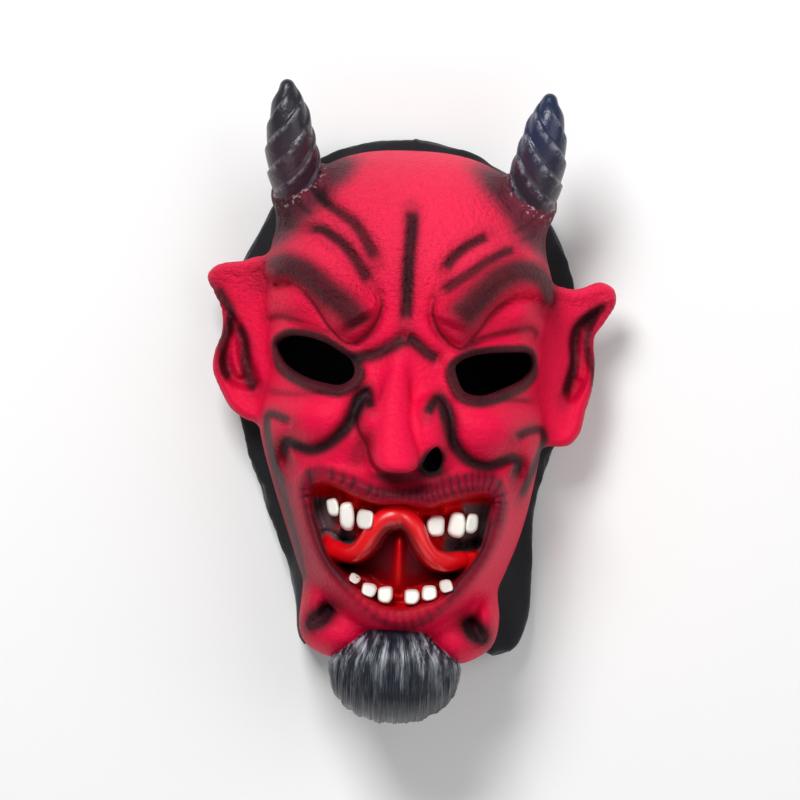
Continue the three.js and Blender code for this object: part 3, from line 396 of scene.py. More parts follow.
def head(pl, z):
    """The head without its relief: a squared-off dome, with the muzzle blended in"""
    deep = np.maximum(0, z - ROOT_Z) / (FRONT_Z - ROOT_Z)
    total = np.maximum(pl.base + deep**POWER, 1e-6)
    k = total ** (1 / POWER - 1)
    slopes = (pl.side_slope, deep ** (POWER - 1) / (FRONT_Z - ROOT_Z), pl.end_slope)
    slope = np.sqrt(sum((k * one) ** 2 for one in slopes))
    skull = np.clip((total * k - 1) / np.maximum(slope, 0.006), -40, 40)
    i = pl.low_face
    skull[i] = smin(skull[i], ellipsoid(pl.x[i], pl.y[i], at(z, i), *MUZZLE), 12)
    return skull


JAW_KNOBS = [((-36, -99, 46), (7.5, 14, 30)), ((42, -100, 46), (7.5, 14, 30))]
JAW_FLAPS = [((-25, -108, 54), (17, 13, 28)), ((28, -109, 54), (17, 13, 28))]
JAW_HOLLOWS = [
    Stroke([(-27, -97), (-33, -101), (-40, -106)], 4.6, 2.6, fade=0.3),
    Stroke([(34, -97), (37, -104), (43, -111)], 4.6, 2.6, fade=0.3),
]


def jaw(x, y, z):
    return smin(nearest(x, y, z, JAW_KNOBS), nearest(x, y, z, JAW_FLAPS), 7)


GOATEE = ((1.5, -124, 66), (30, 25, 33))


def goatee_taper(y):
    """How much narrower the goatee is towards its top"""
    return 1 - 0.32 * step(-124, -104, y)


def goatee(x, y, z):
    """The goatee's body under its locks"""
    (cx, cy, cz), half = GOATEE
    return ellipsoid((x - cx) / goatee_taper(y), y, z, (0, cy, cz), half) + 1.0


NOSE_TOP, NOSE_END = 33.0, -34.5
BRIDGE_Z, NOSE_GAIN = 97.5, 34.0  # height of the nose's root, and how much it gains towards the tip
NOSTRIL_WINGS = [((-13, -9.5, 103), (7.2, 8.8, 13)), ((12.3, -14.5, 103), (10.2, 17.5, 15))]


def nose(x, y, z):
    """A wedge with a flat front that gets wider and higher towards its tip, and a wing on each side"""
    t = np.clip((NOSE_TOP - y) / (NOSE_TOP - NOSE_END), 0, 1)
    front = BRIDGE_Z + NOSE_GAIN * t**0.9
    off = x - 0.3 + 3.4 * np.sin(2.92 * t)
    side = np.abs(off) - 3 - 7 * t**1.2 - 0.15 * (front - z)
    wedge = smax(0.98 * side, 0.9 * (z - front) + 0.03 * off * off, 5)
    wedge = smax(wedge, NOSE_END + 0.15 * (front - z) - y, 9)
    return smin(wedge, nearest(x, y, z, NOSTRIL_WINGS), 4)


# Side, outline, hollow and inner ridge of each ear.
EARS = [
    (-1,
     Line([(-55, 60), (-68, 65), (-78, 62.5), (-89, 60.5), (-94, 55), (-91, 47.5), (-86.5, 38), (-86, 29),
           (-89, 20), (-89.7, 11), (-85, 0), (-79, -8.5), (-70, -13), (-55, -12)], True),
     Line([(-91, 50.5), (-83, 40), (-75.5, 30), (-71.5, 18), (-66.5, 4), (-73, 2), (-83, 7), (-86.3, 15),
           (-83, 26), (-83.5, 34), (-88, 44)], True),
     Stroke([(-80, 27), (-79.5, 17), (-76, 7)], 2.4, 4)),
    (1,
     Line([(55, 56), (70, 56.5), (80, 55.5), (91, 59.3), (98, 56), (99, 49), (94, 40), (89.5, 33),
           (90.2, 20), (89.3, 8), (86.5, -3), (84.5, -12), (79, -18.5), (70, -19), (55, -14)], True),
     Line([(95, 49), (86, 44), (79, 37), (77.3, 30), (78.8, 22), (76, 8), (79, 2), (84, 6), (87.5, 15),
           (87, 30), (89, 38)], True),
     Stroke([(84.5, 38), (83.5, 26), (83, 12)], 2.2, 4)),
]
EAR_Z, EAR_THICK, EAR_CUP = 40.0, 6.5, 8.0
EAR_SWEEP = 0.28  # how far the ears run back, for each millimetre they stand out


def ear_flat(one, x, y):
    """All of an ear that depends only on the place seen from the front"""
    _, outline, cup, ridge = one
    hollow = step(1.5, -3, cup.distance(x, y))
    return outline.distance(x, y), hollow, ridge(x, y), np.maximum(0, np.abs(x) - HALF_W)


def ear(flat, z):
    """A thick leaf with a rolled edge and a hollow in front"""
    out, hollow, ridge, reach = flat
    front = EAR_Z - reach * EAR_SWEEP + 2.6 * bell(out + 3, 3.2) - EAR_CUP * hollow + ridge * hollow
    back = EAR_Z - reach * EAR_SWEEP - EAR_THICK - (EAR_CUP - 1.5) * step(0, -9, out)
    return smax(smax(out, (z - front) * 0.8, 4.5), (back - z) * 0.8, 4)


HORN_R = 13.4
HORN_LENGTH = 48.0
HORN_ROUND = 0.52
HORN_RIDGE = 1.4
HORN_UNDER = HORN_RIDGE + 0.9  # how far the skin inside a horn lies under its surface
HORN_PITCH = 11.5
HORN_STARTS = 5
SOCKET_R = 15.2
SOCKET_PLEATS = 13
PLEAT = 0.85


class Horn:
    """A horn's middle line from inside the head to its tip, the line up its socket, and its paint"""

    def __init__(self, name, side, path, socket, colours, worn):
        self.name, self.side, self.path = name, side, path
        self.socket = [np.array(p, float) for p in socket]
        self.colours = [np.array(c) for c in colours]  # at the foot and at the tip
        # where and how strongly the pale crests are laid on: dry-brushed paint and painted highlight
        self.worn_from, self.worn = worn
        self.dots = catmull(path, False, 4)
        lengths = np.linalg.norm(np.diff(self.dots, axis=0), axis=1)
        self.from_tip = np.append(np.cumsum(lengths[::-1])[::-1], 0.0)


HORNS = [
    Horn("horn_left", -1,
         [(-46.6, 90, 46), (-52, 98, 54), (-54.7, 108, 61), (-56.2, 116, 65.5), (-57.2, 128, 69),
          (-59.2, 146.3, 71)],
         [(-40, 80, 34), (-49.6, 94.5, 50.5)],
         [(0.046, 0.022, 0.036), (0.020, 0.019, 0.026)], (0.55, 0.85)),
    Horn("horn_right", 1,
         [(50.6, 89, 46), (56, 97, 54), (58.4, 107, 61), (59.9, 115, 65.5), (61.3, 127, 69),
          (63.2, 144.5, 71)],
         [(43, 79, 34), (53.4, 93.5, 50.5)],
         [(0.036, 0.028, 0.042), (0.016, 0.024, 0.064)], (0.4, 0.95)),
]


def horn_radius(from_tip):
    """The radius over the ridges"""
    return HORN_R * np.maximum(1 - np.clip(1 - from_tip / HORN_LENGTH, 0, 1) ** 2, 0) ** HORN_ROUND


def along_segment(x, y, z, a, e):
    """How far along the segment from a to a + e, from 0 to 1, and the way from there to the point"""
    t = np.clip(((x - a[0]) * e[0] + (y - a[1]) * e[1] + (z - a[2]) * e[2]) / (e @ e), 0, 1)
    return t, x - a[0] - t * e[0], y - a[1] - t * e[1], z - a[2] - t * e[2]


def horn(one, x, y, z, thinner=0.0):
    """About the distance to a horn's smooth body"""
    best = np.full(np.broadcast(x, y, z).shape, 1e9)
    value = np.full(best.shape, 60.0)
    for i in range(len(one.dots) - 1):
        t, px, py, pz = along_segment(x, y, z, one.dots[i], one.dots[i + 1] - one.dots[i])
        d = np.sqrt(px**2 + py**2 + pz**2)
        left = one.from_tip[i] + t * (one.from_tip[i + 1] - one.from_tip[i])
        m = d < best
        value = np.where(m, d - horn_radius(left) + thinner, value)
        best = np.where(m, d, best)
    return value


def socket_parts(one, x, y, z):
    """Distance to the line up the middle of a horn's socket, and the pleats round it from -1 to 1"""
    a, b = one.socket
    t, px, py, pz = along_segment(x, y, z, a, b - a)
    ahead = unit(b - a)
    over = unit(np.cross((one.side, 0, 0), ahead))
    over = over * (1 if over[2] > 0 else -1)
    across = np.cross(ahead, over)
    turn = np.arctan2(*(px * v[0] + py * v[1] + pz * v[2] for v in (over, across)))
    pleat = np.sin(turn * SOCKET_PLEATS + 1.2 * np.sin(turn * 3))
    return np.sqrt(px * px + py * py + pz * pz), pleat * (1 - 0.8 * step(0.55, 1.0, t))


def socket(one, x, y, z):
    """Skin that rises round the foot of a horn in pleats"""
    d, pleat = socket_parts(one, x, y, z)
    return d - SOCKET_R - PLEAT * pleat


# Drawing the surface.
class Plane:
    """Points with all that depends only on where they lie as seen from the front"""

    def __init__(self, x, y, hollow=False):
        self.x, self.y = x, y
        wide, up, down = plan_parts(x, y)
        self.base = head_plan(x, y)
        self.side_slope = wide ** (POWER - 1) / HALF_W
        chin_slope = CHIN_POWER * down ** (CHIN_POWER - 1) * (down > 0) / (POWER * (CHEEK_Y - BOTTOM_Y))
        self.end_slope = np.where(up > 0, up ** (POWER - 1) / (TOP_Y - TEMPLE_Y), chin_slope)
        self.rim = rim_z(y)
        self.low_face = np.nonzero((y < 5) & (np.abs(x) < 70))[0]
        self.jaw = np.nonzero(y < -60)[0]
        self.goatee = np.nonzero(y < -88)[0]
        self.nose = np.nonzero((np.abs(x) < 40) & (y < 45) & (y > -50))[0]
        self.horns = [np.nonzero((x * one.side > 14) & (y > 56))[0] for one in HORNS]
        self.mouth = MOUTH.distance(x, y)
        if hollow:
            around = [skin_relief(x + i, y + j) for i in (-3, 0, 3) for j in (-3, 0, 3)]
            self.low = np.minimum(np.min(around, 0), 4)
            return
        self.relief = relief(x, y)
        self.jaw_dent = sum(one(x, y) for one in JAW_HOLLOWS)
        self.holes = np.minimum(eye_holes(x, y), NOSTRIL.distance(x, y))
        self.ears = [np.nonzero(x * one[0] > 50)[0] for one in EARS]
        self.ear_flats = [ear_flat(one, x[i], y[i]) for one, i in zip(EARS, self.ears)]


def blend(f, pl, z, i, k, form):
    """Blends a form into the field f at the points numbered i"""
    f[i] = smin(f[i], form(pl.x[i], pl.y[i], at(z, i)), k)


def outer_field(pl, z):
    """The whole casting as one filled body, down to a little below its rim"""
    f = head(pl, z) - pl.relief * step(*FADE_Z, z)
    if reaches(z, 0, 95):
        dents = pl.jaw_dent[pl.jaw] * step(40, 60, at(z, pl.jaw))
        blend(f, pl, z, pl.jaw, 6, lambda *xyz: jaw(*xyz) + dents)
    if reaches(z, 15, 92):
        for one, i in zip(HORNS, pl.horns):
            blend(f, pl, z, i, 9, lambda *xyz: socket(one, *xyz))
            f[i] = np.minimum(f[i], horn(one, pl.x[i], pl.y[i], at(z, i), HORN_UNDER))
    if reaches(z, 25, 108):
        blend(f, pl, z, pl.goatee, 2, goatee)
    if reaches(z, 70, 140):
        blend(f, pl, z, pl.nose, 4, nose)
    if reaches(z, 10, 60):
        for i, flat in zip(pl.ears, pl.ear_flats):
            f[i] = smin(f[i], ear(flat, at(z, i)), 5)
    return np.maximum(smax(f, -pl.holes, 1.2), pl.rim - 5 - z)


CHIN_HOLLOW = ((1.5, -120, 60), (22, 19, 24))
CUP_Z = 46.0  # the mouth's cup starts at this height


def hollow_field(pl, z):
    """The space inside the mask: the head a wall's thickness smaller, without the cup of the mouth"""
    skull = head(pl, z)
    f = skull - pl.low * step(*FADE_Z, z) + WALL
    for one, i in zip(HORNS, pl.horns):
        blend(f, pl, z, i, 3, lambda *xyz: horn(one, *xyz, WALL + 2.5))
    blend(f, pl, z, pl.goatee, 6, lambda *xyz: ellipsoid(*xyz, *CHIN_HOLLOW))
    blend(f, pl, z, pl.nose, 6, lambda *xyz: nose(*xyz) + WALL + 0.5)
    blend(f, pl, z, pl.jaw, 5, lambda *xyz: jaw(*xyz) + WALL + 1)
    cup = np.maximum(np.maximum(pl.mouth - WALL - 1, -(skull + MOUTH_DEPTH + WALL)), CUP_Z - z)
    return np.maximum(smax(f, -cup, 3), RIM_Z - 12 - z)


def axis(*runs):
    """Grid places along one axis, from runs of (low, high, spacing) that follow each other"""
    out = []
    for low, high, size in runs:
        out.append(np.linspace(low, high, max(1, round((high - low) / size)), endpoint=False))
    out.append([runs[-1][1]])
    return np.concatenate(out)


def untangle(v):
    """Fills lone diagonals of a grid of distances, because two sheets mustn't meet in one cell"""
    square = ((0, 0), (1, 0), (1, 1), (0, 1))
    for _ in range(4):
        changed = 0
        for first, second in ((0, 1), (1, 2), (0, 2)):
            signs = []
            for i, j in square:
                window = [slice(None)] * 3
                window[first] = slice(1, None) if i else slice(0, -1)
                window[second] = slice(1, None) if j else slice(0, -1)
                signs.append(v[tuple(window)] < 0)
            lone = np.argwhere((signs[0] == signs[2]) & (signs[1] == signs[3]) & (signs[0] != signs[1]))
            changed += len(lone)
            for spot in lone:
                corners = []
                for i, j in square:
                    corner = list(spot)
                    corner[first] += i
                    corner[second] += j
                    corners.append(tuple(corner))
                outside = [c for c in corners if v[c] >= 0]
                if outside:
                    v[min(outside, key=lambda c: v[c])] = -1e-3
        if not changed:
            break


def surface_nets(v, xs, ys, zs):
    """Vertices and quads of the surface in a grid of distances, with one vertex in each cell it crosses"""
    s = v < 0
    nx, ny, nz = v.shape
    corners = [(c & 1, (c >> 1) & 1, c >> 2) for c in range(8)]
    count = np.zeros((nx - 1, ny - 1, nz - 1), np.int8)
    for i, j, k in corners:
        count += s[i:nx - 1 + i, j:ny - 1 + j, k:nz - 1 + k]
    cells = np.nonzero((count > 0) & (count < 8))
    index = np.full(count.shape, -1, np.int64)
    index[cells] = np.arange(len(cells[0]))
    total = np.zeros((len(cells[0]), 3))
    hits = np.zeros(len(cells[0]))
    edges = [(corners[a], corners[a | bit]) for a in range(8) for bit in (1, 2, 4) if not a & bit]
    for p, q in edges:
        va = v[tuple(c + o for c, o in zip(cells, p))]
        vb = v[tuple(c + o for c, o in zip(cells, q))]
        m = (va < 0) != (vb < 0)
        t = np.where(m, va / np.where(m, va - vb, 1), 0)
        for k, places in enumerate((xs, ys, zs)):
            pa = places[cells[k] + p[k]]
            pb = places[cells[k] + q[k]]
            total[:, k] += np.where(m, pa + t * (pb - pa), 0)
        hits += m
    quads = []
    for k in range(3):
        beyond = [slice(1, -1)] * 3
        beyond[k] = slice(2, None)
        e = np.argwhere(s[1:-1, 1:-1, 1:-1] != s[tuple(beyond)]) + 1
        du, dw = (np.eye(3, dtype=int)[(k + n) % 3] for n in (1, 2))
        quad = np.stack([index[tuple((e - off).T)] for off in (du + dw, dw, 0 * du, du)], 1)
        flip = ~s[tuple(e.T)]
        quad[flip] = quad[flip][:, ::-1]
        quads.append(quad)
    return total / hits[:, None], np.concatenate(quads)


def draw(field, xs, ys, zs, hollow=False):
    gx, gy = np.meshgrid(xs, ys, indexing="ij")
    pl = Plane(gx.ravel(), gy.ravel(), hollow)
    v = np.empty((len(xs), len(ys), len(zs)), np.float32)
    for k, z in enumerate(zs):
        v[:, :, k] = field(pl, z).reshape(gx.shape)
    v[v == 0] = 1e-6
    untangle(v)
    return surface_nets(v, xs, ys, zs)


def settle(verts, field, reach):
    """Moves each vertex onto the true surface along the field's slope, by reach at most"""
    x, y, z = verts.T
    e = 0.2
    f = field(Plane(x, y), z)
    ahead = (field(Plane(x + e, y), z), field(Plane(x, y + e), z), field(Plane(x, y), z + e))
    g = (np.stack(ahead, 1) - f[:, None]) / e
    move = -f[:, None] * g / np.maximum((g * g).sum(1), 0.3)[:, None]
    size = np.linalg.norm(move, axis=1)
    return verts + move * np.minimum(1, reach / np.maximum(size, 1e-9))[:, None]


def mesh_object(name, verts, faces):
    me = bpy.data.meshes.new(name)
    faces = faces.tolist() if isinstance(faces, np.ndarray) else faces
    me.from_pydata(np.asarray(verts, float).tolist(), [], faces)
    me.update()
    o = bpy.data.objects.new(name, me)
    bpy.context.scene.collection.objects.link(o)
    return o


# Airbrushed lines, and one line of painted shade at the foot of the nose: points, half width at both ends,
# strength.
PAINT = [
    ([(1, 88), (1.5, 80), (1, 70), (0.5, 60), (0.5, 45), (0, 35)], 2.9, 2.7, 0.95),
    ([(-45, 98), (-40, 91), (-35, 87), (-29, 83), (-25, 80), (-21, 75), (-17.5, 69),
      (-14, 62)], 1.8, 2.8, 0.85),
    ([(-47, 77), (-40, 77), (-35, 74), (-30, 70.5), (-25, 65), (-20, 58), (-16.5, 53)], 2, 2.6, 0.9),
    ([(17, 60), (20, 65), (25, 70), (30, 73.5), (37, 77)], 2.4, 2, 0.9),
    ([(16, 50), (20, 53), (25, 56.5), (30, 60), (35, 64), (40, 67), (45, 70), (50, 71)], 2.4, 1.8, 0.85),
    ([(0.5, 28.5), (-3, 26), (-8, 23), (-13, 20.5), (-19, 19), (-24, 18.5)], 2.8, 2.6, 0.95),
    ([(0.5, 28.5), (4, 27), (8, 24), (12, 21), (16, 19.5)], 2.8, 2.4, 0.95),
    ([(-66, 55), (-58, 60), (-50, 58), (-42, 53), (-35, 47), (-28, 42), (-22, 35), (-20, 32)], 5.4, 6.1, 0.9),
    ([(66, 44), (66.5, 50), (64, 57), (58, 61), (50, 61), (42, 57), (35, 50), (28, 42),
      (22, 35)], 3.2, 6.9, 0.9),
    ([(-65, 36), (-57, 36), (-50, 34), (-45, 32), (-40, 31), (-33, 28)], 1.4, 1.3, 0.45),
    ([(27, 22), (33, 28), (40, 31), (47, 33), (55, 35), (60, 35), (62, 31)], 1.4, 1.3, 0.55),
    ([(-62, 1.5), (-55, 1), (-45, 1), (-35, 2), (-28, 1)], 1.3, 1, 0.45),
    ([(33, 0.5), (40, 1.2), (50, 2), (60, 1.8)], 1.3, 1, 0.5),
    ([(-13.8, -5), (-15.2, 0), (-17, 3.6), (-19, 0), (-21, -6)], 2.1, 2.9, 0.97),
    ([(11.8, -6.8), (13.4, -2), (17, 1.2), (20, -4), (22, -10)], 2.1, 2.8, 0.97),
    ([(-17, 3), (-19, 0), (-21, -6), (-24, -12), (-28, -17), (-34, -22), (-40, -24.5), (-45, -24),
      (-50, -22), (-53, -21.5), (-53.5, -25), (-51, -32)], 3.3, 2, 0.97),
    ([(17.5, 1), (20, -4), (22, -10), (23, -15), (26, -21), (31, -26), (37, -28.5), (42, -28.5),
      (47, -26.5), (52, -25), (55, -26.5), (54, -31), (53, -37)], 3.0, 2, 0.97),
    ([(-50, -12.5), (-55, -10.5), (-60, -9), (-62, -10), (-62, -16), (-60, -25), (-57, -35),
      (-53, -44)], 2, 1.8, 0.9),
    ([(52, -16), (56, -13.5), (61, -11.5), (65, -11.5), (67, -14), (66, -20), (63, -28), (59, -38),
      (56, -45)], 2, 1.8, 0.9),
    ([(-57, -38), (-50, -58), (-46, -72), (-42, -88)], 1.9, 1.9, 0.8),
    # painted shade along the foot of the nose's left side and under its tip
    ([(-20.5, -9), (-18.6, -16.3), (-15.3, -21.6), (-13.8, -26.3), (-12.4, -30.6), (-8.2, -34.4),
      (0, -35.8)], 0.8, 0.8, 0.5),
    # ears
    ([(-90, 51), (-86, 45), (-82, 38), (-83, 30), (-85, 22), (-85, 15), (-83, 9), (-80, 7)], 2.4, 2.2, 0.9),
    ([(-79, 33), (-75, 25), (-74, 15), (-71, 5), (-68, 3)], 2.2, 2.8, 0.9),
    ([(95, 49), (90, 45.5), (85, 42), (81, 37), (79.8, 30), (80, 20), (78, 11), (75.5, 2)], 2.2, 2.3, 0.92),
    ([(90, 44.5), (87, 38), (86, 31), (87, 24), (89.5, 16), (90.5, 8)], 2.2, 1.7, 0.85),
    # creases round the inner ends of the brows
    (LEFT_CREASE[:1:-1], 0.8, 0.7, 0.6), (RIGHT_CREASE[:2:-1] + [(49, 49.5)], 0.8, 0.7, 0.6),
    # folds under the horns
    ([(-54, 92), (-48, 86), (-45, 84)], 1.2, 0.9, 0.6),
    ([(-47, 98), (-41, 91), (-38, 88)], 1.2, 0.9, 0.6),
    ([(-63, 89), (-62.5, 73)], 1.0, 0.8, 0.5),
    ([(48, 79), (57, 85)], 0.8, 0.8, 0.45),
    ([(51, 75), (59, 79.5)], 0.8, 0.8, 0.45),
    # spray over the left temple
    ([(-60, 92), (-59, 76)], 6.5, 6.5, 0.7),
]
# Soft oval patches of dark, some of them painted shadow and shade round the nose: middle, half sizes, turn,
# strength.
PATCHES = [
    ((-34, -102), (9.6, 5.0), 0.72, 0.98), ((38.3, -105.5), (9.2, 5.4), -0.72, 0.98),
    ((14.5, -32), (6.5, 3), 0, 0.95), ((-34, 108), (6, 7), 0, 0.5), ((42, 103), (7, 6), 0, 0.45),
    # painted shadow under the nose tip in the first two, painted shade beside the left nostril wing in the
    # last
    ((0, -35.5), (12, 2.6), 0, 0.8), ((0, -41), (12, 3.6), 0, 0.6), ((-18, -24), (4, 7), -0.4, 0.45),
]


def spray_and_shade(x, y):
    """How dark the black spray and the painted shade are, from 0 to 1"""
    clear = np.ones(x.shape)
    for points, w0, w1, strength in PAINT:
        d, t = Line(points, False, 4).at(x, y, 12.0)
        w = w0 + (w1 - w0) * t
        fade = step(-0.02, 0.1, t) * step(1.02, 0.9, t)
        clear = clear * (1 - strength * step(w * 1.75, w * 0.45, d) * (0.12 + 0.88 * fade))
        clear = clear * (1 - 0.22 * strength * step(w * 1.2 + 5, w * 0.8, d))
    for c, r, turn, strength in PATCHES:
        clear = clear * (1 - strength * np.minimum(1, 1.7 * mound(x, y, c, r, 1, turn)))
    clear = clear * (1 - 0.95 * step(3.4, 0.8, NOSTRIL.distance(x, y, 12.0)) * step(-17, -25, y))
    lid = 4.6 + 2.2 * step(22, 10, y)
    clear = clear * (1 - 0.93 * step(lid, lid - 2.4, eye_holes(x, y)))
    return 1 - clear


# Colours, in linear light.
RED = np.array([0.83, 0.004, 0.056])
# painted highlight: a brighter, pinker red laid over the brow and forehead
BROW_HIGHLIGHT_RED = np.array([0.95, 0.024, 0.088])
DARK = np.array([0.020, 0.008, 0.011])
TONGUE = np.array([0.66, 0.002, 0.003])
# painted shade in the hollow under the tongue's roll
TONGUE_SHADE = np.array([0.020, 0.0005, 0.002])
# lit and shaded copies of the tongue roll's red, for painted shade
ROLL_LIT = np.array([0.74, 0.002, 0.008])
ROLL_SHADED = np.array([0.10, 0.0005, 0.003])
MOUTH_GREY = np.array([0.125, 0.100, 0.112])
LIPS = np.array([0.060, 0.004, 0.014])
LIP_EDGE = np.array([0.50, 0.003, 0.018])
HALO = np.array([0.135, 0.036, 0.060])
# painted shade on the sides of the lower face
SIDE_SHADE = np.array([0.20, 0.001, 0.018])
HORN_SKIN = np.array([0.030, 0.026, 0.036])
GOATEE_BLUE = np.array([0.009, 0.012, 0.022])
INSIDE = np.array([0.42, 0.02, 0.03])
DEEP_RED = (0.46, 0.002, 0.03, 1)
# painted glints: pale flecks along the seams at the horns' feet
SEAM_GLINTS = (0.5, 0.42, 0.45, 1)


def mix(a, b, m):
    return a * (1 - m[:, None]) + b * m[:, None]


def spray_horn_feet(x, y, z, rgb, dark):
    """Grey halos and dark pleats round the horns, and the seam of each horn, where pale flecks are painted as
    glints
    """
    seam = np.zeros(x.size)
    for one in HORNS:
        near = np.where(y > 60, horn(one, x, y, z), 60)
        # the seam at each horn's foot, where pale flecks are painted as glints
        seam = np.maximum(seam, step(2.3, 0.7, near) * step(113, 108, y))
        pleat = np.where(near < 30, socket_parts(one, x, y, z)[1], 0)
        rgb = mix(rgb, HALO, 0.88 * step(25, 7, near))
        folds = step(0.2, -0.8, pleat) * step(21, 5, near)
        dark = 1 - (1 - dark) * (1 - 0.3 * step(22, 2, near)) * (1 - 0.42 * folds)
    return rgb, dark, seam


def spray_lips(x, y, lips, front, mouth, rgb):
    """Maroon lips, darkest in their wrinkles and at the sides of the mouth, with a red inner edge"""
    d, t = LIP.at(x, y)
    lower = step(-52, -60, y)
    middle = bell(d + 0.5, 3.2) * lower
    folds = lip_folds(t)
    sides = lip_sides(x, y)
    rgb = mix(rgb, LIPS, lips * (0.95 - 0.2 * folds - 0.32 * middle))
    rgb = mix(rgb, DARK, lips * 0.75 * step(0.72, 0.2, folds) * (1 - 0.5 * lower) * (1 - sides))
    rgb = mix(rgb, DARK, front * 0.85 * sides * step(6.5, 1.5, mouth) * step(-97, -88, y))
    rgb = mix(rgb, TONGUE * 0.9, front * 0.45 * bell(mouth - 1, 3) * lower * (1 - sides))
    edge = step(3.4, 1.4, mouth) * step(-56, -51, y) * step(44, 38, np.abs(x - MOUTH_X))
    return mix(rgb, LIP_EDGE, front * 0.85 * edge)


def above_tongue(x, y):
    """How far up a place lies from the tongue's front edge"""
    dots = TONGUE_EDGE.dots
    return y - np.interp(x, dots[:, 0], dots[:, 1], left=-64, right=-68)


def paint_mouth(x, y, inside, rgb):
    """The red basin of the mouth with its grey corners and painted shade in the hollow under the tongue, and
    how deep under the tongue a place is
    """
    rgb = mix(rgb, TONGUE, inside)
    edge = TONGUE_EDGE.distance(x, y)
    hollow = step(-1.5, -5, above_tongue(x, y)) * step(3.6, 6.2, edge) * step(-98, -76, y) * inside
    # painted shade darkens the hollow under the tongue's roll
    rgb = mix(rgb, TONGUE_SHADE, hollow * 0.95)
    frenulum = bell(x - FRENULUM_X, 1.5 + np.maximum(0, -64 - y) * 0.07) * step(-58, -66, y)
    rgb = mix(rgb, TONGUE * 0.85, hollow * frenulum)
    gums = np.zeros(x.size)
    for cx, cy, hx, hy, lean in TEETH:
        root_y = cy + math.copysign(0.45 * hy, cy - TEETH_MIDDLE_Y)
        gums = np.maximum(gums, step(1.7, 1.1, tooth_r(x, y, (cx, root_y, hx, hy, lean))))
    rgb = mix(rgb, TONGUE * 0.85, gums * inside)
    corners = np.maximum(step(-25, -30, x), step(28, 32, x)) * step(-45, -48, y)
    corners = np.maximum(corners, np.maximum(step(-17, -21, x), step(20, 24, x)) * step(-58.5, -61.5, y))
    return mix(rgb, MOUTH_GREY, inside * corners * step(-72, -67, y) * step(1.5, 3.0, edge)), hollow


def paint(v, inner):
    """Colour, painted highlight and shade, spray, gloss, grain and painted seam glints of the casting at each
    of its vertices
    """
    x, y, z = v.T
    # painted highlight: the brow and forehead are a brighter, pinker red
    rgb = mix(np.tile(RED, (len(v), 1)), BROW_HIGHLIGHT_RED, step(35, 70, y))
    flank = step(-22, -40, y) * step(-98, -84, y) * step(-30, -44, x)
    dark = spray_and_shade(x, y) * step(12 + 8 * flank, 24 + 32 * flank, z)
    rgb, dark, seam = spray_horn_feet(x, y, z, rgb, dark)
    # painted shade: the sides of the lower face are darker, most on the viewer's left
    side = step(0.25, 0.95, head_plan(x, y)) * step(0, -45, y) * step(-122, -62, y)
    rgb = mix(rgb, SIDE_SHADE, side * (0.1 + 0.8 * step(10, -20, x)))
    mouth = MOUTH.distance(x, y)
    front = step(46, 52, z)
    lips = step(1.5, -2.5, LIP_OUTER.distance(x, y)) * front
    rgb = spray_lips(x, y, lips, front, mouth, rgb)
    inside = step(0.6, -0.8, mouth) * front
    rgb, hollow = paint_mouth(x, y, inside, rgb)
    horns = np.zeros(len(v))
    for one in HORNS:
        near = np.where(y > 60, horn(one, x, y, z, HORN_UNDER), 30)
        horns = np.maximum(horns, step(1.0, 0.2, near) * step(80, 86, y))
    rgb = mix(rgb, HORN_SKIN, horns)
    tuft = step(1.4, 0.4, np.where(y < -85, goatee(x, y, z), 30)) * step(-101, -106, y)
    rgb = mix(rgb, GOATEE_BLUE, tuft)
    gloss = np.maximum(inside * (1 - 0.6 * hollow), np.maximum(horns * 0.75, tuft * 0.7))
    bare = (1 - horns) * (1 - tuft)
    grain = (0.4 + (0.5 + 0.5 * step(25, -25, x)) * step(30, 55, y)) * bare
    return {
        "paint_rgb": mix(rgb, INSIDE, inner),
        "paint_dark": dark * (1 - inside) * bare * (1 - inner),
        "gloss": gloss,
        "pebble": grain * (1 - inside) * (1 - 0.5 * lips),
        "seam": seam * (1 - inner),
    }


def add_attribute(me, name, values):
    if values.ndim == 2:
        a = me.attributes.new(name, "FLOAT_COLOR", "POINT")
        rgba = np.ones((len(values), 4), np.float32)
        rgba[:, :3] = values
        a.data.foreach_set("color", rgba.ravel())
    else:
        a = me.attributes.new(name, "FLOAT", "POINT")
        a.data.foreach_set("value", values.astype(np.float32))


# Materials.
def connect(tree, port, value):
    """Gives a node's input a value, or links it to another node's output"""
    if isinstance(value, (int, float, tuple)):
        port.default_value = value
    else:
        tree.links.new(value, port)


def node(tree, kind, output, inputs, **settings):
    """One output of a new shader node"""
    n = tree.nodes.new("ShaderNode" + kind)
    for key, value in settings.items():
        setattr(n, key, value)
    for port, value in inputs.items():
        connect(tree, n.inputs[port], value)
    return n.outputs[output]


def attribute(tree, name, output="Fac"):
    return node(tree, "Attribute", output, {}, attribute_name=name)


def math_node(tree, operation, a, b, clamp=False):
    return node(tree, "Math", 0, {0: a, 1: b}, operation=operation, use_clamp=clamp)


def mix_colour(tree, factor, a, b):
    return node(tree, "Mix", 2, {"Factor": factor, 6: a, 7: b}, data_type="RGBA")


def ramp(tree, value, low, high):
    inputs = {"Value": value, "From Min": low, "From Max": high}
    return node(tree, "MapRange", 0, inputs, interpolation_type="SMOOTHSTEP")


def noise(tree, coords, scale, detail=4.0, rough=0.55):
    inputs = {"Vector": coords, "Scale": scale, "Detail": detail, "Roughness": rough}
    return node(tree, "TexNoise", "Fac", inputs)


def dent(tree, height, distance, strength):
    """Bumps, their distance in metres"""
    return node(tree, "Bump", "Normal", {"Height": height, "Distance": distance, "Strength": strength})


def surface(name):
    """A material, its node tree and its object coordinates"""
    mat = bpy.data.materials.new(name)
    mat.use_nodes = True
    return mat, mat.node_tree, node(mat.node_tree, "TexCoord", "Object", {})


def dress(tree, inputs):
    """Gives the material's shader its inputs"""
    for port, value in inputs.items():
        connect(tree, tree.nodes["Principled BSDF"].inputs[port], value)


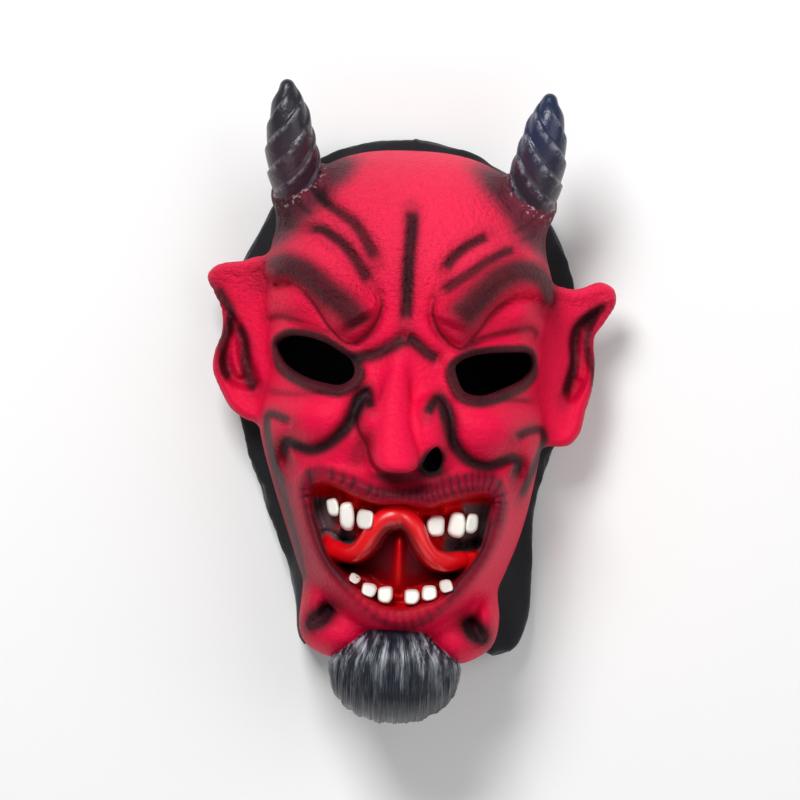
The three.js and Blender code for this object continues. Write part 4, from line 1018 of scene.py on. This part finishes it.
def latex_material():
    """Matt painted latex: spray and painted shade with grainy edges, painted glints along the horn seams,
    pebbles and fine wrinkles
    """
    mat, t, coords = surface("painted_latex")
    dark = attribute(t, "paint_dark")
    patches = noise(t, coords, 60.0, 4.0)
    uneven = [math_node(t, "SUBTRACT", one, 0.5) for one in (patches, noise(t, coords, 900.0, 3.0))]
    wobble, speckle = (math_node(t, "MULTIPLY", one, 0.16) for one in uneven)
    grainy = math_node(t, "MULTIPLY", math_node(t, "ADD", wobble, speckle), dark)
    rgb = attribute(t, "paint_rgb", "Color")
    base = mix_colour(t, math_node(t, "MULTIPLY", patches, 0.16), rgb, DEEP_RED)
    base = mix_colour(t, math_node(t, "ADD", dark, grainy, True), base, (*DARK.tolist(), 1))
    # painted glints: pale flecks along the horn seams
    flecks = ramp(t, noise(t, coords, 420.0, 3.0, 0.7), 0.55, 0.72)
    base = mix_colour(t, math_node(t, "MULTIPLY", flecks, attribute(t, "seam")), base, SEAM_GLINTS)
    shine = math_node(t, "MULTIPLY", attribute(t, "gloss"), 0.33)
    stretched = node(t, "Mapping", 0, {"Vector": coords, "Scale": (0.45, 1.3, 1.0)})
    bumps = math_node(t, "ADD", noise(t, stretched, 330.0, 4.0, 0.65), noise(t, coords, 430.0, 3.0, 0.55))
    dress(t, {
        "Base Color": base,
        "Roughness": math_node(t, "SUBTRACT", 0.52, shine),
        "Specular IOR Level": 0.12,
        "Normal": dent(t, bumps, 0.0024, math_node(t, "MULTIPLY", attribute(t, "pebble"), 0.8)),
    })
    return mat


def gloss_material(name, rough, brush_and_highlight_colour, dents, grain=(1, 1, 1), worn_from=0.42):
    """Glossy dark paint with a pale one over its crests: dry-brushed paint, and on the horns also a painted
    highlight
    """
    mat, t, coords = surface(name)
    stretched = node(t, "Mapping", 0, {"Vector": coords, "Scale": grain})
    worn = ramp(t, noise(t, stretched, 260.0, 5.0, 0.7), worn_from, worn_from + 0.2)
    worn = math_node(t, "MULTIPLY", attribute(t, "crest"), worn)
    dress(t, {
        "Base Color": mix_colour(t, worn, attribute(t, "paint_rgb", "Color"), (*brush_and_highlight_colour, 1)),
        "Roughness": rough,
        "Specular IOR Level": 0.42,
        "Normal": dent(t, noise(t, coords, 170.0, 5.0, 0.62), 0.0011, dents),
    })
    return mat


def tongue_material():
    mat, t, _ = surface("tongue_paint")
    dress(t, {"Base Color": attribute(t, "paint_rgb", "Color"), "Roughness": 0.3})
    return mat


def plain_material(name, colour, rough):
    mat, t, _ = surface(name)
    dress(t, {"Base Color": (*colour, 1), "Roughness": rough})
    return mat


def knit_material():
    mat, t, coords = surface("black_knit")
    dress(t, {
        "Base Color": (0.007, 0.007, 0.010, 1),
        "Roughness": 0.78,
        "Specular IOR Level": 0.3,
        "Sheen Weight": 0.12,
        "Sheen Roughness": 0.4,
        "Normal": dent(t, noise(t, coords, 700.0, 2.0, 0.5), 0.0004, 0.5),
    })
    return mat


# Tools for the pieces.
def apply_modifier(piece, kind, **settings):
    modifier = piece.modifiers.new("work", kind)
    for key, value in settings.items():
        setattr(modifier, key, value)
    with bpy.context.temp_override(object=piece, active_object=piece, selected_objects=[piece]):
        bpy.ops.object.modifier_apply(modifier="work")


def cut(body, cutter):
    apply_modifier(body, "BOOLEAN", operation="DIFFERENCE", solver="MANIFOLD", object=cutter)
    bpy.data.objects.remove(cutter)


def coordinates(me):
    out = np.empty(len(me.vertices) * 3)
    me.vertices.foreach_get("co", out)
    return out.reshape(-1, 3)


def place(piece, material, node_name):
    """Moves a finished piece from the mask's millimetres to the row's metres and dresses it"""
    me = piece.data
    v = coordinates(me)
    v[:, :2] += SHIFT
    me.vertices.foreach_set("co", (v / 1000).ravel())
    me.polygons.foreach_set("use_smooth", [True] * len(me.polygons))
    me.materials.append(material)
    me.update()
    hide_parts(node_name)
    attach(piece, "root")


def grid_faces(rows, columns, closed):
    """Quads between rows of a grid, the last column joined to the first if closed"""
    r, c = np.meshgrid(np.arange(rows - 1), np.arange(columns if closed else columns - 1), indexing="ij")
    r, c = r.ravel(), c.ravel()
    d = (c + 1) % columns
    return np.stack([r * columns + c, r * columns + d, (r + 1) * columns + d, (r + 1) * columns + c], 1)


def full_turn(count):
    return np.linspace(0, 2 * math.pi, count, endpoint=False)


def tube(p, across, over, radius, turn, flat=1.0):
    """Rings of points round the line p, flattened along over"""
    ring = np.cos(turn)[None, :, None] * across[:, None] + flat * np.sin(turn)[None, :, None] * over[:, None]
    return (p[:, None] + radius[..., None] * ring).reshape(-1, 3)


def drop(body, places):
    """Heights of the casting under places seen from the front"""
    return np.array([body.ray_cast((x, y, RAYS_FROM), (0, 0, -1))[1][2] for x, y in places])


# The casting's skin.
def below_rim():
    """A block of everything under the mask's rim, which rises towards the chin"""
    ys = np.linspace(-158, 154, 79)
    profile = [(-158.0, -20.0), (154.0, -20.0)] + [(y, float(rim_z(y))) for y in ys[::-1]]
    n = len(profile)
    points = [(x, y, z) for x in (-120.0, 120.0) for y, z in profile]
    faces = [tuple(range(n))[::-1], tuple(range(n, 2 * n))]
    faces += [(i, (i + 1) % n, n + (i + 1) % n, n + i) for i in range(n)]
    return mesh_object("below_rim", points, faces)


def mask_piece():
    verts, quads = draw(
        outer_field,
        axis((-99, -66, 1.5), (-66, -46, 1.25), (-46, 48, 1.0), (48, 68, 1.25), (68, 105, 1.5)),
        axis((-156, -108, 1.6), (-108, -38, 1.0), (-38, 36, 1.1), (36, 100, 1.25), (100, 112, 1.6),
             (112, 152, 3.0)),
        axis((12, 60, 2.8), (60, 139, 1.2)))
    mask = mesh_object("mask_skin", settle(verts, outer_field, 0.5), quads)
    hollow = mesh_object("hollow", *draw(
        hollow_field, axis((-78, 78, 2.6)), axis((-150, 152, 2.8)), axis((4, 134, 2.8)), True))
    # the faces cut by the hollow keep its second material slot
    for o in (mask, hollow):
        o.data.materials.append(None)
        o.data.materials.append(None)
    hollow.data.polygons.foreach_set("material_index", [1] * len(hollow.data.polygons))
    cut(mask, hollow)
    cut(mask, below_rim())
    me = mask.data
    inner = np.zeros(len(me.vertices))
    for poly in me.polygons:
        if poly.material_index == 1:
            inner[list(poly.vertices)] = 1
    me.polygons.foreach_set("material_index", [0] * len(me.polygons))
    me.materials.clear()
    for name, values in paint(coordinates(me), inner).items():
        add_attribute(me, name, values)
    return mask


# The pieces laid over the skin.
def horn_piece(one):
    """The horn's own surface: ridges wind up it, each with its shoulder right under a sharp groove"""
    rings, around = 210, 96
    dots = catmull(one.path, False, 40)
    from_foot = np.insert(np.cumsum(np.linalg.norm(np.diff(dots, axis=0), axis=1)), 0, 0.0)
    total = from_foot[-1]
    left = total * (1 - np.linspace(0, 1, rings)) ** 1.5
    p = np.stack([np.interp(total - left, from_foot, dots[:, k]) for k in range(3)], 1)
    ahead = np.gradient(p, axis=0)
    ahead[-1] = ahead[-2]
    ahead = unit(ahead)
    across = unit(np.array([one.side, 0, 0]) - ahead * ahead[:, :1] * one.side)
    over = np.cross(across, ahead)
    over *= np.sign(over[:, 2:])
    turn = full_turn(around)
    wind = np.mod((total - left)[:, None] / HORN_PITCH - HORN_STARTS * turn[None] / (2 * math.pi), 1.0)
    ridge = wind**1.2 * step(1.0, 0.83, wind) * step(0, 12, left)[:, None]
    radius = horn_radius(left)[:, None] + HORN_RIDGE * (ridge - 1) * step(0, 5, left)[:, None]
    piece = mesh_object(one.name, tube(p, across, over, radius, turn), grid_faces(rings, around, True))
    up = np.repeat((1 - left / total)[:, None], around, 1).ravel()
    foot, tip = (np.tile(colour, (up.size, 1)) for colour in one.colours)
    add_attribute(piece.data, "paint_rgb", mix(foot, tip, step(0.35, 0.8, up)))
    # pale paint on the ridge shoulders: dry-brushed paint, and a painted highlight where the shoulders catch
    # the light
    add_attribute(piece.data, "crest", step(one.worn_from, 0.98, ridge).ravel() * one.worn)
    return piece


def strands(turn, down, count, seed):
    """Rounded locks side by side, their widths and bends uneven"""
    rng = np.random.default_rng(seed)
    pick = rng.uniform
    bend = sum(pick(0.1, 0.3) * np.sin(down * pick(2, 9) + turn * pick(1, 6) + pick(0, 6))
               for _ in range(4))
    uneven = sum(pick(0.2, 0.5) * np.sin(turn * count * pick(0.08, 0.3) + pick(0, 6))
                 for _ in range(4))
    return np.abs(np.sin(turn * count / 2 + bend * 1.6 + uneven))


GOATEE_ROOT = 0.24  # angle from the tuft's pole at which its locks begin
GOATEE_TILT = 0.5
GOATEE_SIDES = 0.55  # how far past a half turn the locks run back


def goatee_piece():
    """The cast tuft of hair on the chin, as locks that fan out downwards and curl under"""
    rows, columns = 140, 480
    centre, half = (np.array(v, float) for v in GOATEE)
    s = np.linspace(0, 1, rows)[:, None]
    turn = np.linspace(-GOATEE_SIDES, math.pi + GOATEE_SIDES, columns)[None]
    polar = GOATEE_ROOT + s * (math.pi - GOATEE_ROOT - 0.03)
    lock = (turn - math.pi / 2) * np.sin(polar) ** 0.9
    fine = 0.45 * strands(lock, s, 74, 5) + 0.4 * strands(lock, s, 150, 8)
    lift = (0.9 * strands(lock, s, 22, 3) + fine - 1.1) * step(0, 0.12, s) * step(1.0, 0.9, s) + 0.4
    side, up, out = np.sin(polar) * np.cos(turn), np.cos(polar) + 0 * turn, np.sin(polar) * np.sin(turn)
    side = side * (1 + 0.05 * step(-0.1, -0.7, up))
    cs, sn = math.cos(GOATEE_TILT), math.sin(GOATEE_TILT)
    up, out = up * cs - out * sn, out * cs + up * sn
    v = centre + np.stack([side, up, out], 2) * (half + lift[..., None])
    v[..., 0] = centre[0] + (v[..., 0] - centre[0]) * goatee_taper(v[..., 1])
    v[..., 1] -= 0.9 * strands(lock, 0.0, 18, 11) * step(0.5, 0.8, s)
    piece = mesh_object("goatee", v.reshape(-1, 3), grid_faces(rows, columns, False))
    add_attribute(piece.data, "paint_rgb", np.tile(GOATEE_BLUE, (v.size // 3, 1)))
    bright = (0.35 + 0.65 * step(0.2, 0.9, lift)) * (0.08 + 0.92 * step(-0.6, 0.55, up))
    add_attribute(piece.data, "crest", (bright * step(0.02, 0.2, s)).ravel())
    return piece


def tooth_top(body, one):
    """Height and slope of the casting under a tooth"""
    cx, cy, hx, hy, _ = one
    reach = (-0.8, -0.5, 0, 0.5, 0.8)
    spots = np.array([(hx * i, hy * j) for i in reach for j in reach if abs(i) + abs(j) < 1.4])
    z = drop(body, spots + (cx, cy))
    plane = np.column_stack([np.ones(len(z)), spots])
    fit = np.linalg.lstsq(plane, z, rcond=None)[0]
    return fit[0] + max(z - plane @ fit), fit[1], fit[2]


TOOTH_SKIRT = 8.0  # how far a tooth's edge reaches down into the gum
TOOTH_SQUARE = 2 / 2.9
TOOTH_WAVES = ((0.035, 2, 3.1), (0.03, 3, 1.7), (0.015, 5, 1))  # share of the size, waves round it, shift


def squared(v):
    return np.sign(v) * np.abs(v) ** TOOTH_SQUARE


def teeth_piece(tops):
    """Flat painted teeth with rounded, slightly uneven edges, one for each of tooth_top's results"""
    rings, around = 12, 48
    turn = full_turn(around)[None]
    r = np.sin(np.linspace(0, 1, rings)[:, None] * math.pi / 2)
    verts, faces = [], []
    for (cx, cy, hx, hy, lean), (z0, slope_x, slope_y) in zip(TEETH, tops):
        uneven = 1 + sum(rise * np.sin(waves * turn + shift * cx) for rise, waves, shift in TOOTH_WAVES)
        u = r * uneven * hx * squared(np.cos(turn))
        w = r * uneven * hy * squared(np.sin(turn))
        dx = u * math.cos(lean) - w * math.sin(lean)
        dy = w * math.cos(lean) + u * math.sin(lean)
        z = z0 + slope_x * dx + slope_y * dy + 0.6 - TOOTH_SKIRT * (1 - np.sqrt(np.maximum(1 - r**9, 0)))
        faces.append(grid_faces(rings, around, True) + len(verts) * rings * around)
        verts.append(np.stack([cx + dx, cy + dy, z], 2).reshape(-1, 3))
    return mesh_object("teeth", np.concatenate(verts), np.concatenate(faces))


def tongue_piece(body):
    """The glossy roll of the tongue's edge, arched in the middle and down into the corners"""
    around, lines = 40, catmull(TONGUE_ROLL, False, 14)
    n = len(lines)
    t = np.linspace(0, 1, n)
    z = np.convolve(np.pad(drop(body, lines), 9, mode="edge"), np.ones(19) / 19, "valid")
    p = np.column_stack([lines, z - 2.2])
    ahead = unit(np.gradient(p, axis=0))
    across = unit(np.cross(ahead, (0, 0, 1.0)))
    thick = 1 + 0.04 * np.sin(t * 31) + 0.4 * bell(t - 0.47, 0.15)
    radius = TONGUE_R * thick * np.sqrt(np.clip(np.minimum(t, 1 - t) / 0.07, 0.02, 1))
    turn = full_turn(around)
    v = tube(p, across, np.cross(across, ahead), radius[:, None], turn, 0.95)
    piece = mesh_object("tongue", v, grid_faces(n, around, True))
    # painted shade darkens the roll's inner side, towards the hollow under it
    middle = step(0.12, 0.32, t) * step(0.86, 0.66, t)
    shade = 0.92 * step(-0.15, 0.85, np.cos(turn))[None] * middle[:, None]
    add_attribute(piece.data, "paint_rgb", mix(ROLL_LIT, ROLL_SHADED, shade.ravel()))
    return piece


# The hood.
HOOD_OUTLINE = Line(
    [(-42, -117), (-47, -95), (-53, -76), (-62, -55), (-73, -25), (-79, 0), (-81, 30), (-79, 60), (-70, 80),
     (-57, 103), (-42, 115), (-24, 121), (2, 124), (24, 120), (45, 110), (58, 99), (69, 84), (79, 60),
     (82, 30), (79, 0), (70, -30), (65, -50), (65, -80), (63, -105), (56, -117), (0, -121)], True)
HOOD_X, HOOD_Y = 0.0, -5.0
HOOD_SEAM_X = 2.0
SEAM_W = 1.1
NECK_FROM, NECK_TO, NECK_Y = -40.0, 46.0, -100.0
CLOTH = 0.9


def reach_of(inside, turn):
    """How far out from the hood's middle each direction stays inside a form"""
    low, high = np.zeros(turn.shape), np.full(turn.shape, 170.0)
    for _ in range(22):
        r = (low + high) / 2
        m = inside(HOOD_X + r * np.cos(turn), HOOD_Y + r * np.sin(turn)) < 0
        low, high = np.where(m, r, low), np.where(m, high, r)
    return low


def crumple(turn, down, seed):
    """Soft uneven folds, from 0 to about 1"""
    rng = np.random.default_rng(seed)
    total = 0
    for k in (9, 14, 21, 33, 47):
        lean = rng.uniform(-4, 4)
        swell = 0.5 + 0.5 * np.sin(turn * rng.integers(2, 5) + rng.uniform(0, 6))
        fold = (0.5 + 0.5 * np.sin(turn * k + lean * down + rng.uniform(0, 6))) ** 2
        total = total + swell * fold * (9 / k) ** 0.5
    return total / 2.2


def hood_wall(turn, rows):
    """Reach and height of the bag's side, from under the mask's rim down to the ground, open at the neck"""
    edge = reach_of(lambda x, y: head(Plane(x, y, True), rim_z(y)), turn)
    plan = reach_of(lambda x, y: HOOD_OUTLINE.distance(x, y, 200.0), turn)
    top = np.minimum(edge, plan)
    rim = rim_z(HOOD_Y + top * np.sin(turn))
    x, y = HOOD_X + plan * np.cos(turn), HOOD_Y + plan * np.sin(turn)
    neck = step(NECK_FROM - 2, NECK_FROM + 4, x) * step(NECK_TO + 2, NECK_TO - 4, x)
    wall = 1 - neck * step(NECK_Y + 4, NECK_Y - 4, y)
    down = np.linspace(0, 1, rows)[:, None]
    out = step(0.04, 0.5, down)
    r = (top - 2) * (1 - out) + (plan - 0.4) * out - 6 * step(0.8, 1, down) ** 2
    z = (rim - 0.8) * (1 - down) + CLOTH * down + 1.5 * np.sin(down * math.pi)
    slack = 2.6 * np.sin(np.clip(down * 1.1, 0, 1) * math.pi) ** 0.8
    r = r - slack * crumple(turn, down * 3, 4) - 0.8 * crumple(turn * 2, down * 5, 9) * step(0.1, 0.4, down)
    r = (plan - 6) * (1 - wall) + r * wall
    seam = 0.6 * bell(x - HOOD_SEAM_X, SEAM_W) * step(0, 20, y)
    return r + seam, 1 - wall + z * wall


def hood_back(turn, outer, rows):
    """Reach and height of the bag's back, which lies on the ground, from the wall's foot inwards"""
    inward = np.linspace(1, 0.004, rows + 1)[1:, None]
    r = outer * inward
    z = CLOTH + 2.2 * crumple(turn, inward * 4, 6) * step(1, 0.8, inward) * step(0.03, 0.3, inward)
    seam = 0.5 * bell(HOOD_X + r * np.cos(turn) - HOOD_SEAM_X, SEAM_W) * step(1, 0.9, inward)
    return r, z + seam


def hood_piece():
    """A slack knit bag behind the face: its edge is caught under the rim, its back lies on the ground"""
    turn = np.linspace(-math.pi, math.pi, 460, endpoint=False)
    wall_r, wall_z = hood_wall(turn, 30)
    back_r, back_z = hood_back(turn, wall_r[-1], 26)
    r, z = np.vstack([wall_r, back_r]), np.vstack([wall_z, back_z])
    v = np.stack([HOOD_X + r * np.cos(turn), HOOD_Y + r * np.sin(turn), z], 2).reshape(-1, 3)
    piece = mesh_object("hood_cloth", v, grid_faces(len(r), turn.size, True))
    bm = bmesh.new()
    bm.from_mesh(piece.data)
    bmesh.ops.remove_doubles(bm, verts=bm.verts, dist=1e-4)
    bmesh.ops.recalc_face_normals(bm, faces=bm.faces)
    bm.to_mesh(piece.data)
    bm.free()
    apply_modifier(piece, "SOLIDIFY", thickness=CLOTH, offset=0)
    return piece


# Building the pieces.
mask = mask_piece()
teeth_tops = [tooth_top(mask, one) for one in TEETH]
tongue = tongue_piece(mask)
place(mask, latex_material(), "latex_mask")
# the horns' pale crests are dry-brushed paint and painted highlight
horn_paint = gloss_material("horn_paint", 0.27, (0.32, 0.31, 0.37), 0.55)
for one in HORNS:
    place(horn_piece(one), horn_paint, "latex_mask")
goatee_paint = gloss_material("goatee_paint", 0.32, (0.52, 0.54, 0.61), 0.15, (1.0, 0.13, 0.4), 0.44)
place(goatee_piece(), goatee_paint, "latex_mask")
place(tongue, tongue_material(), "latex_mask")
place(teeth_piece(teeth_tops), plain_material("tooth_paint", (0.90, 0.89, 0.83), 0.55), "latex_mask")
hood = hood_piece()
place(hood, knit_material(), "hood")

# Floor, light and camera, in metres.
scene = bpy.context.scene
floor = mesh_object("floor", [(-3, -3, 0), (3, -3, 0), (3, 3, 0), (-3, 3, 0)], [(0, 1, 2, 3)])
floor.data.materials.append(plain_material("pale_floor", (0.93, 0.93, 0.93), 0.9))

LIT = Vector((0, 0, 0.06))  # the point that the lights aim at
for name, spot, size, power in (
    ("key", (-0.4, 0.8, 1.3), 0.55, 19.0),
    ("fill", (0.9, 0.1, 1.2), 1.1, 5.5),
    ("low", (0.0, -1.0, 1.0), 0.9, 3.0),
):
    lamp = bpy.data.lights.new(name, "AREA")
    lamp.shape = "SQUARE"
    lamp.size = size
    lamp.energy = power
    light = bpy.data.objects.new(name, lamp)
    light.location = spot
    light.rotation_euler = (LIT - light.location).to_track_quat("-Z", "Y").to_euler()
    scene.collection.objects.link(light)

world = bpy.data.worlds.new("world")
scene.world = world
world.use_nodes = True
sky = world.node_tree.nodes["Background"]
sky.inputs["Color"].default_value = (1, 1, 1, 1)
sky.inputs["Strength"].default_value = 0.22

# The camera looks straight down on the face, turned a little as in the photograph.
ROLL = math.radians(2.3)
DISTANCE = 2.4
FACE_Z = 0.085
SENSOR = 36
VIEW_WIDTH = 0.368  # what the picture shows at the face, 800 pixels of 0.46 mm
LEFT_BY = 0.00092  # the picture's middle is 2 pixels left of the mask's middle
right = Vector((math.cos(ROLL), math.sin(ROLL), 0))
up = Vector((-math.sin(ROLL), math.cos(ROLL), 0))
middle = Vector((*SHIFT / 1000, 0)) - right * LEFT_BY
cam_data = bpy.data.cameras.new("camera")
cam_data.sensor_width = SENSOR
cam_data.lens = SENSOR * DISTANCE / VIEW_WIDTH
cam_data.clip_end = 20
cam = bpy.data.objects.new("camera", cam_data)
scene.collection.objects.link(cam)
cam.matrix_world = Matrix((
    (right[0], up[0], 0, middle[0]),
    (right[1], up[1], 0, middle[1]),
    (0, 0, 1, DISTANCE + FACE_Z),
    (0, 0, 0, 1),
))
scene.camera = cam
scene.view_settings.view_transform = "Standard"
scene.view_settings.look = "None"
scene.render.film_transparent = False
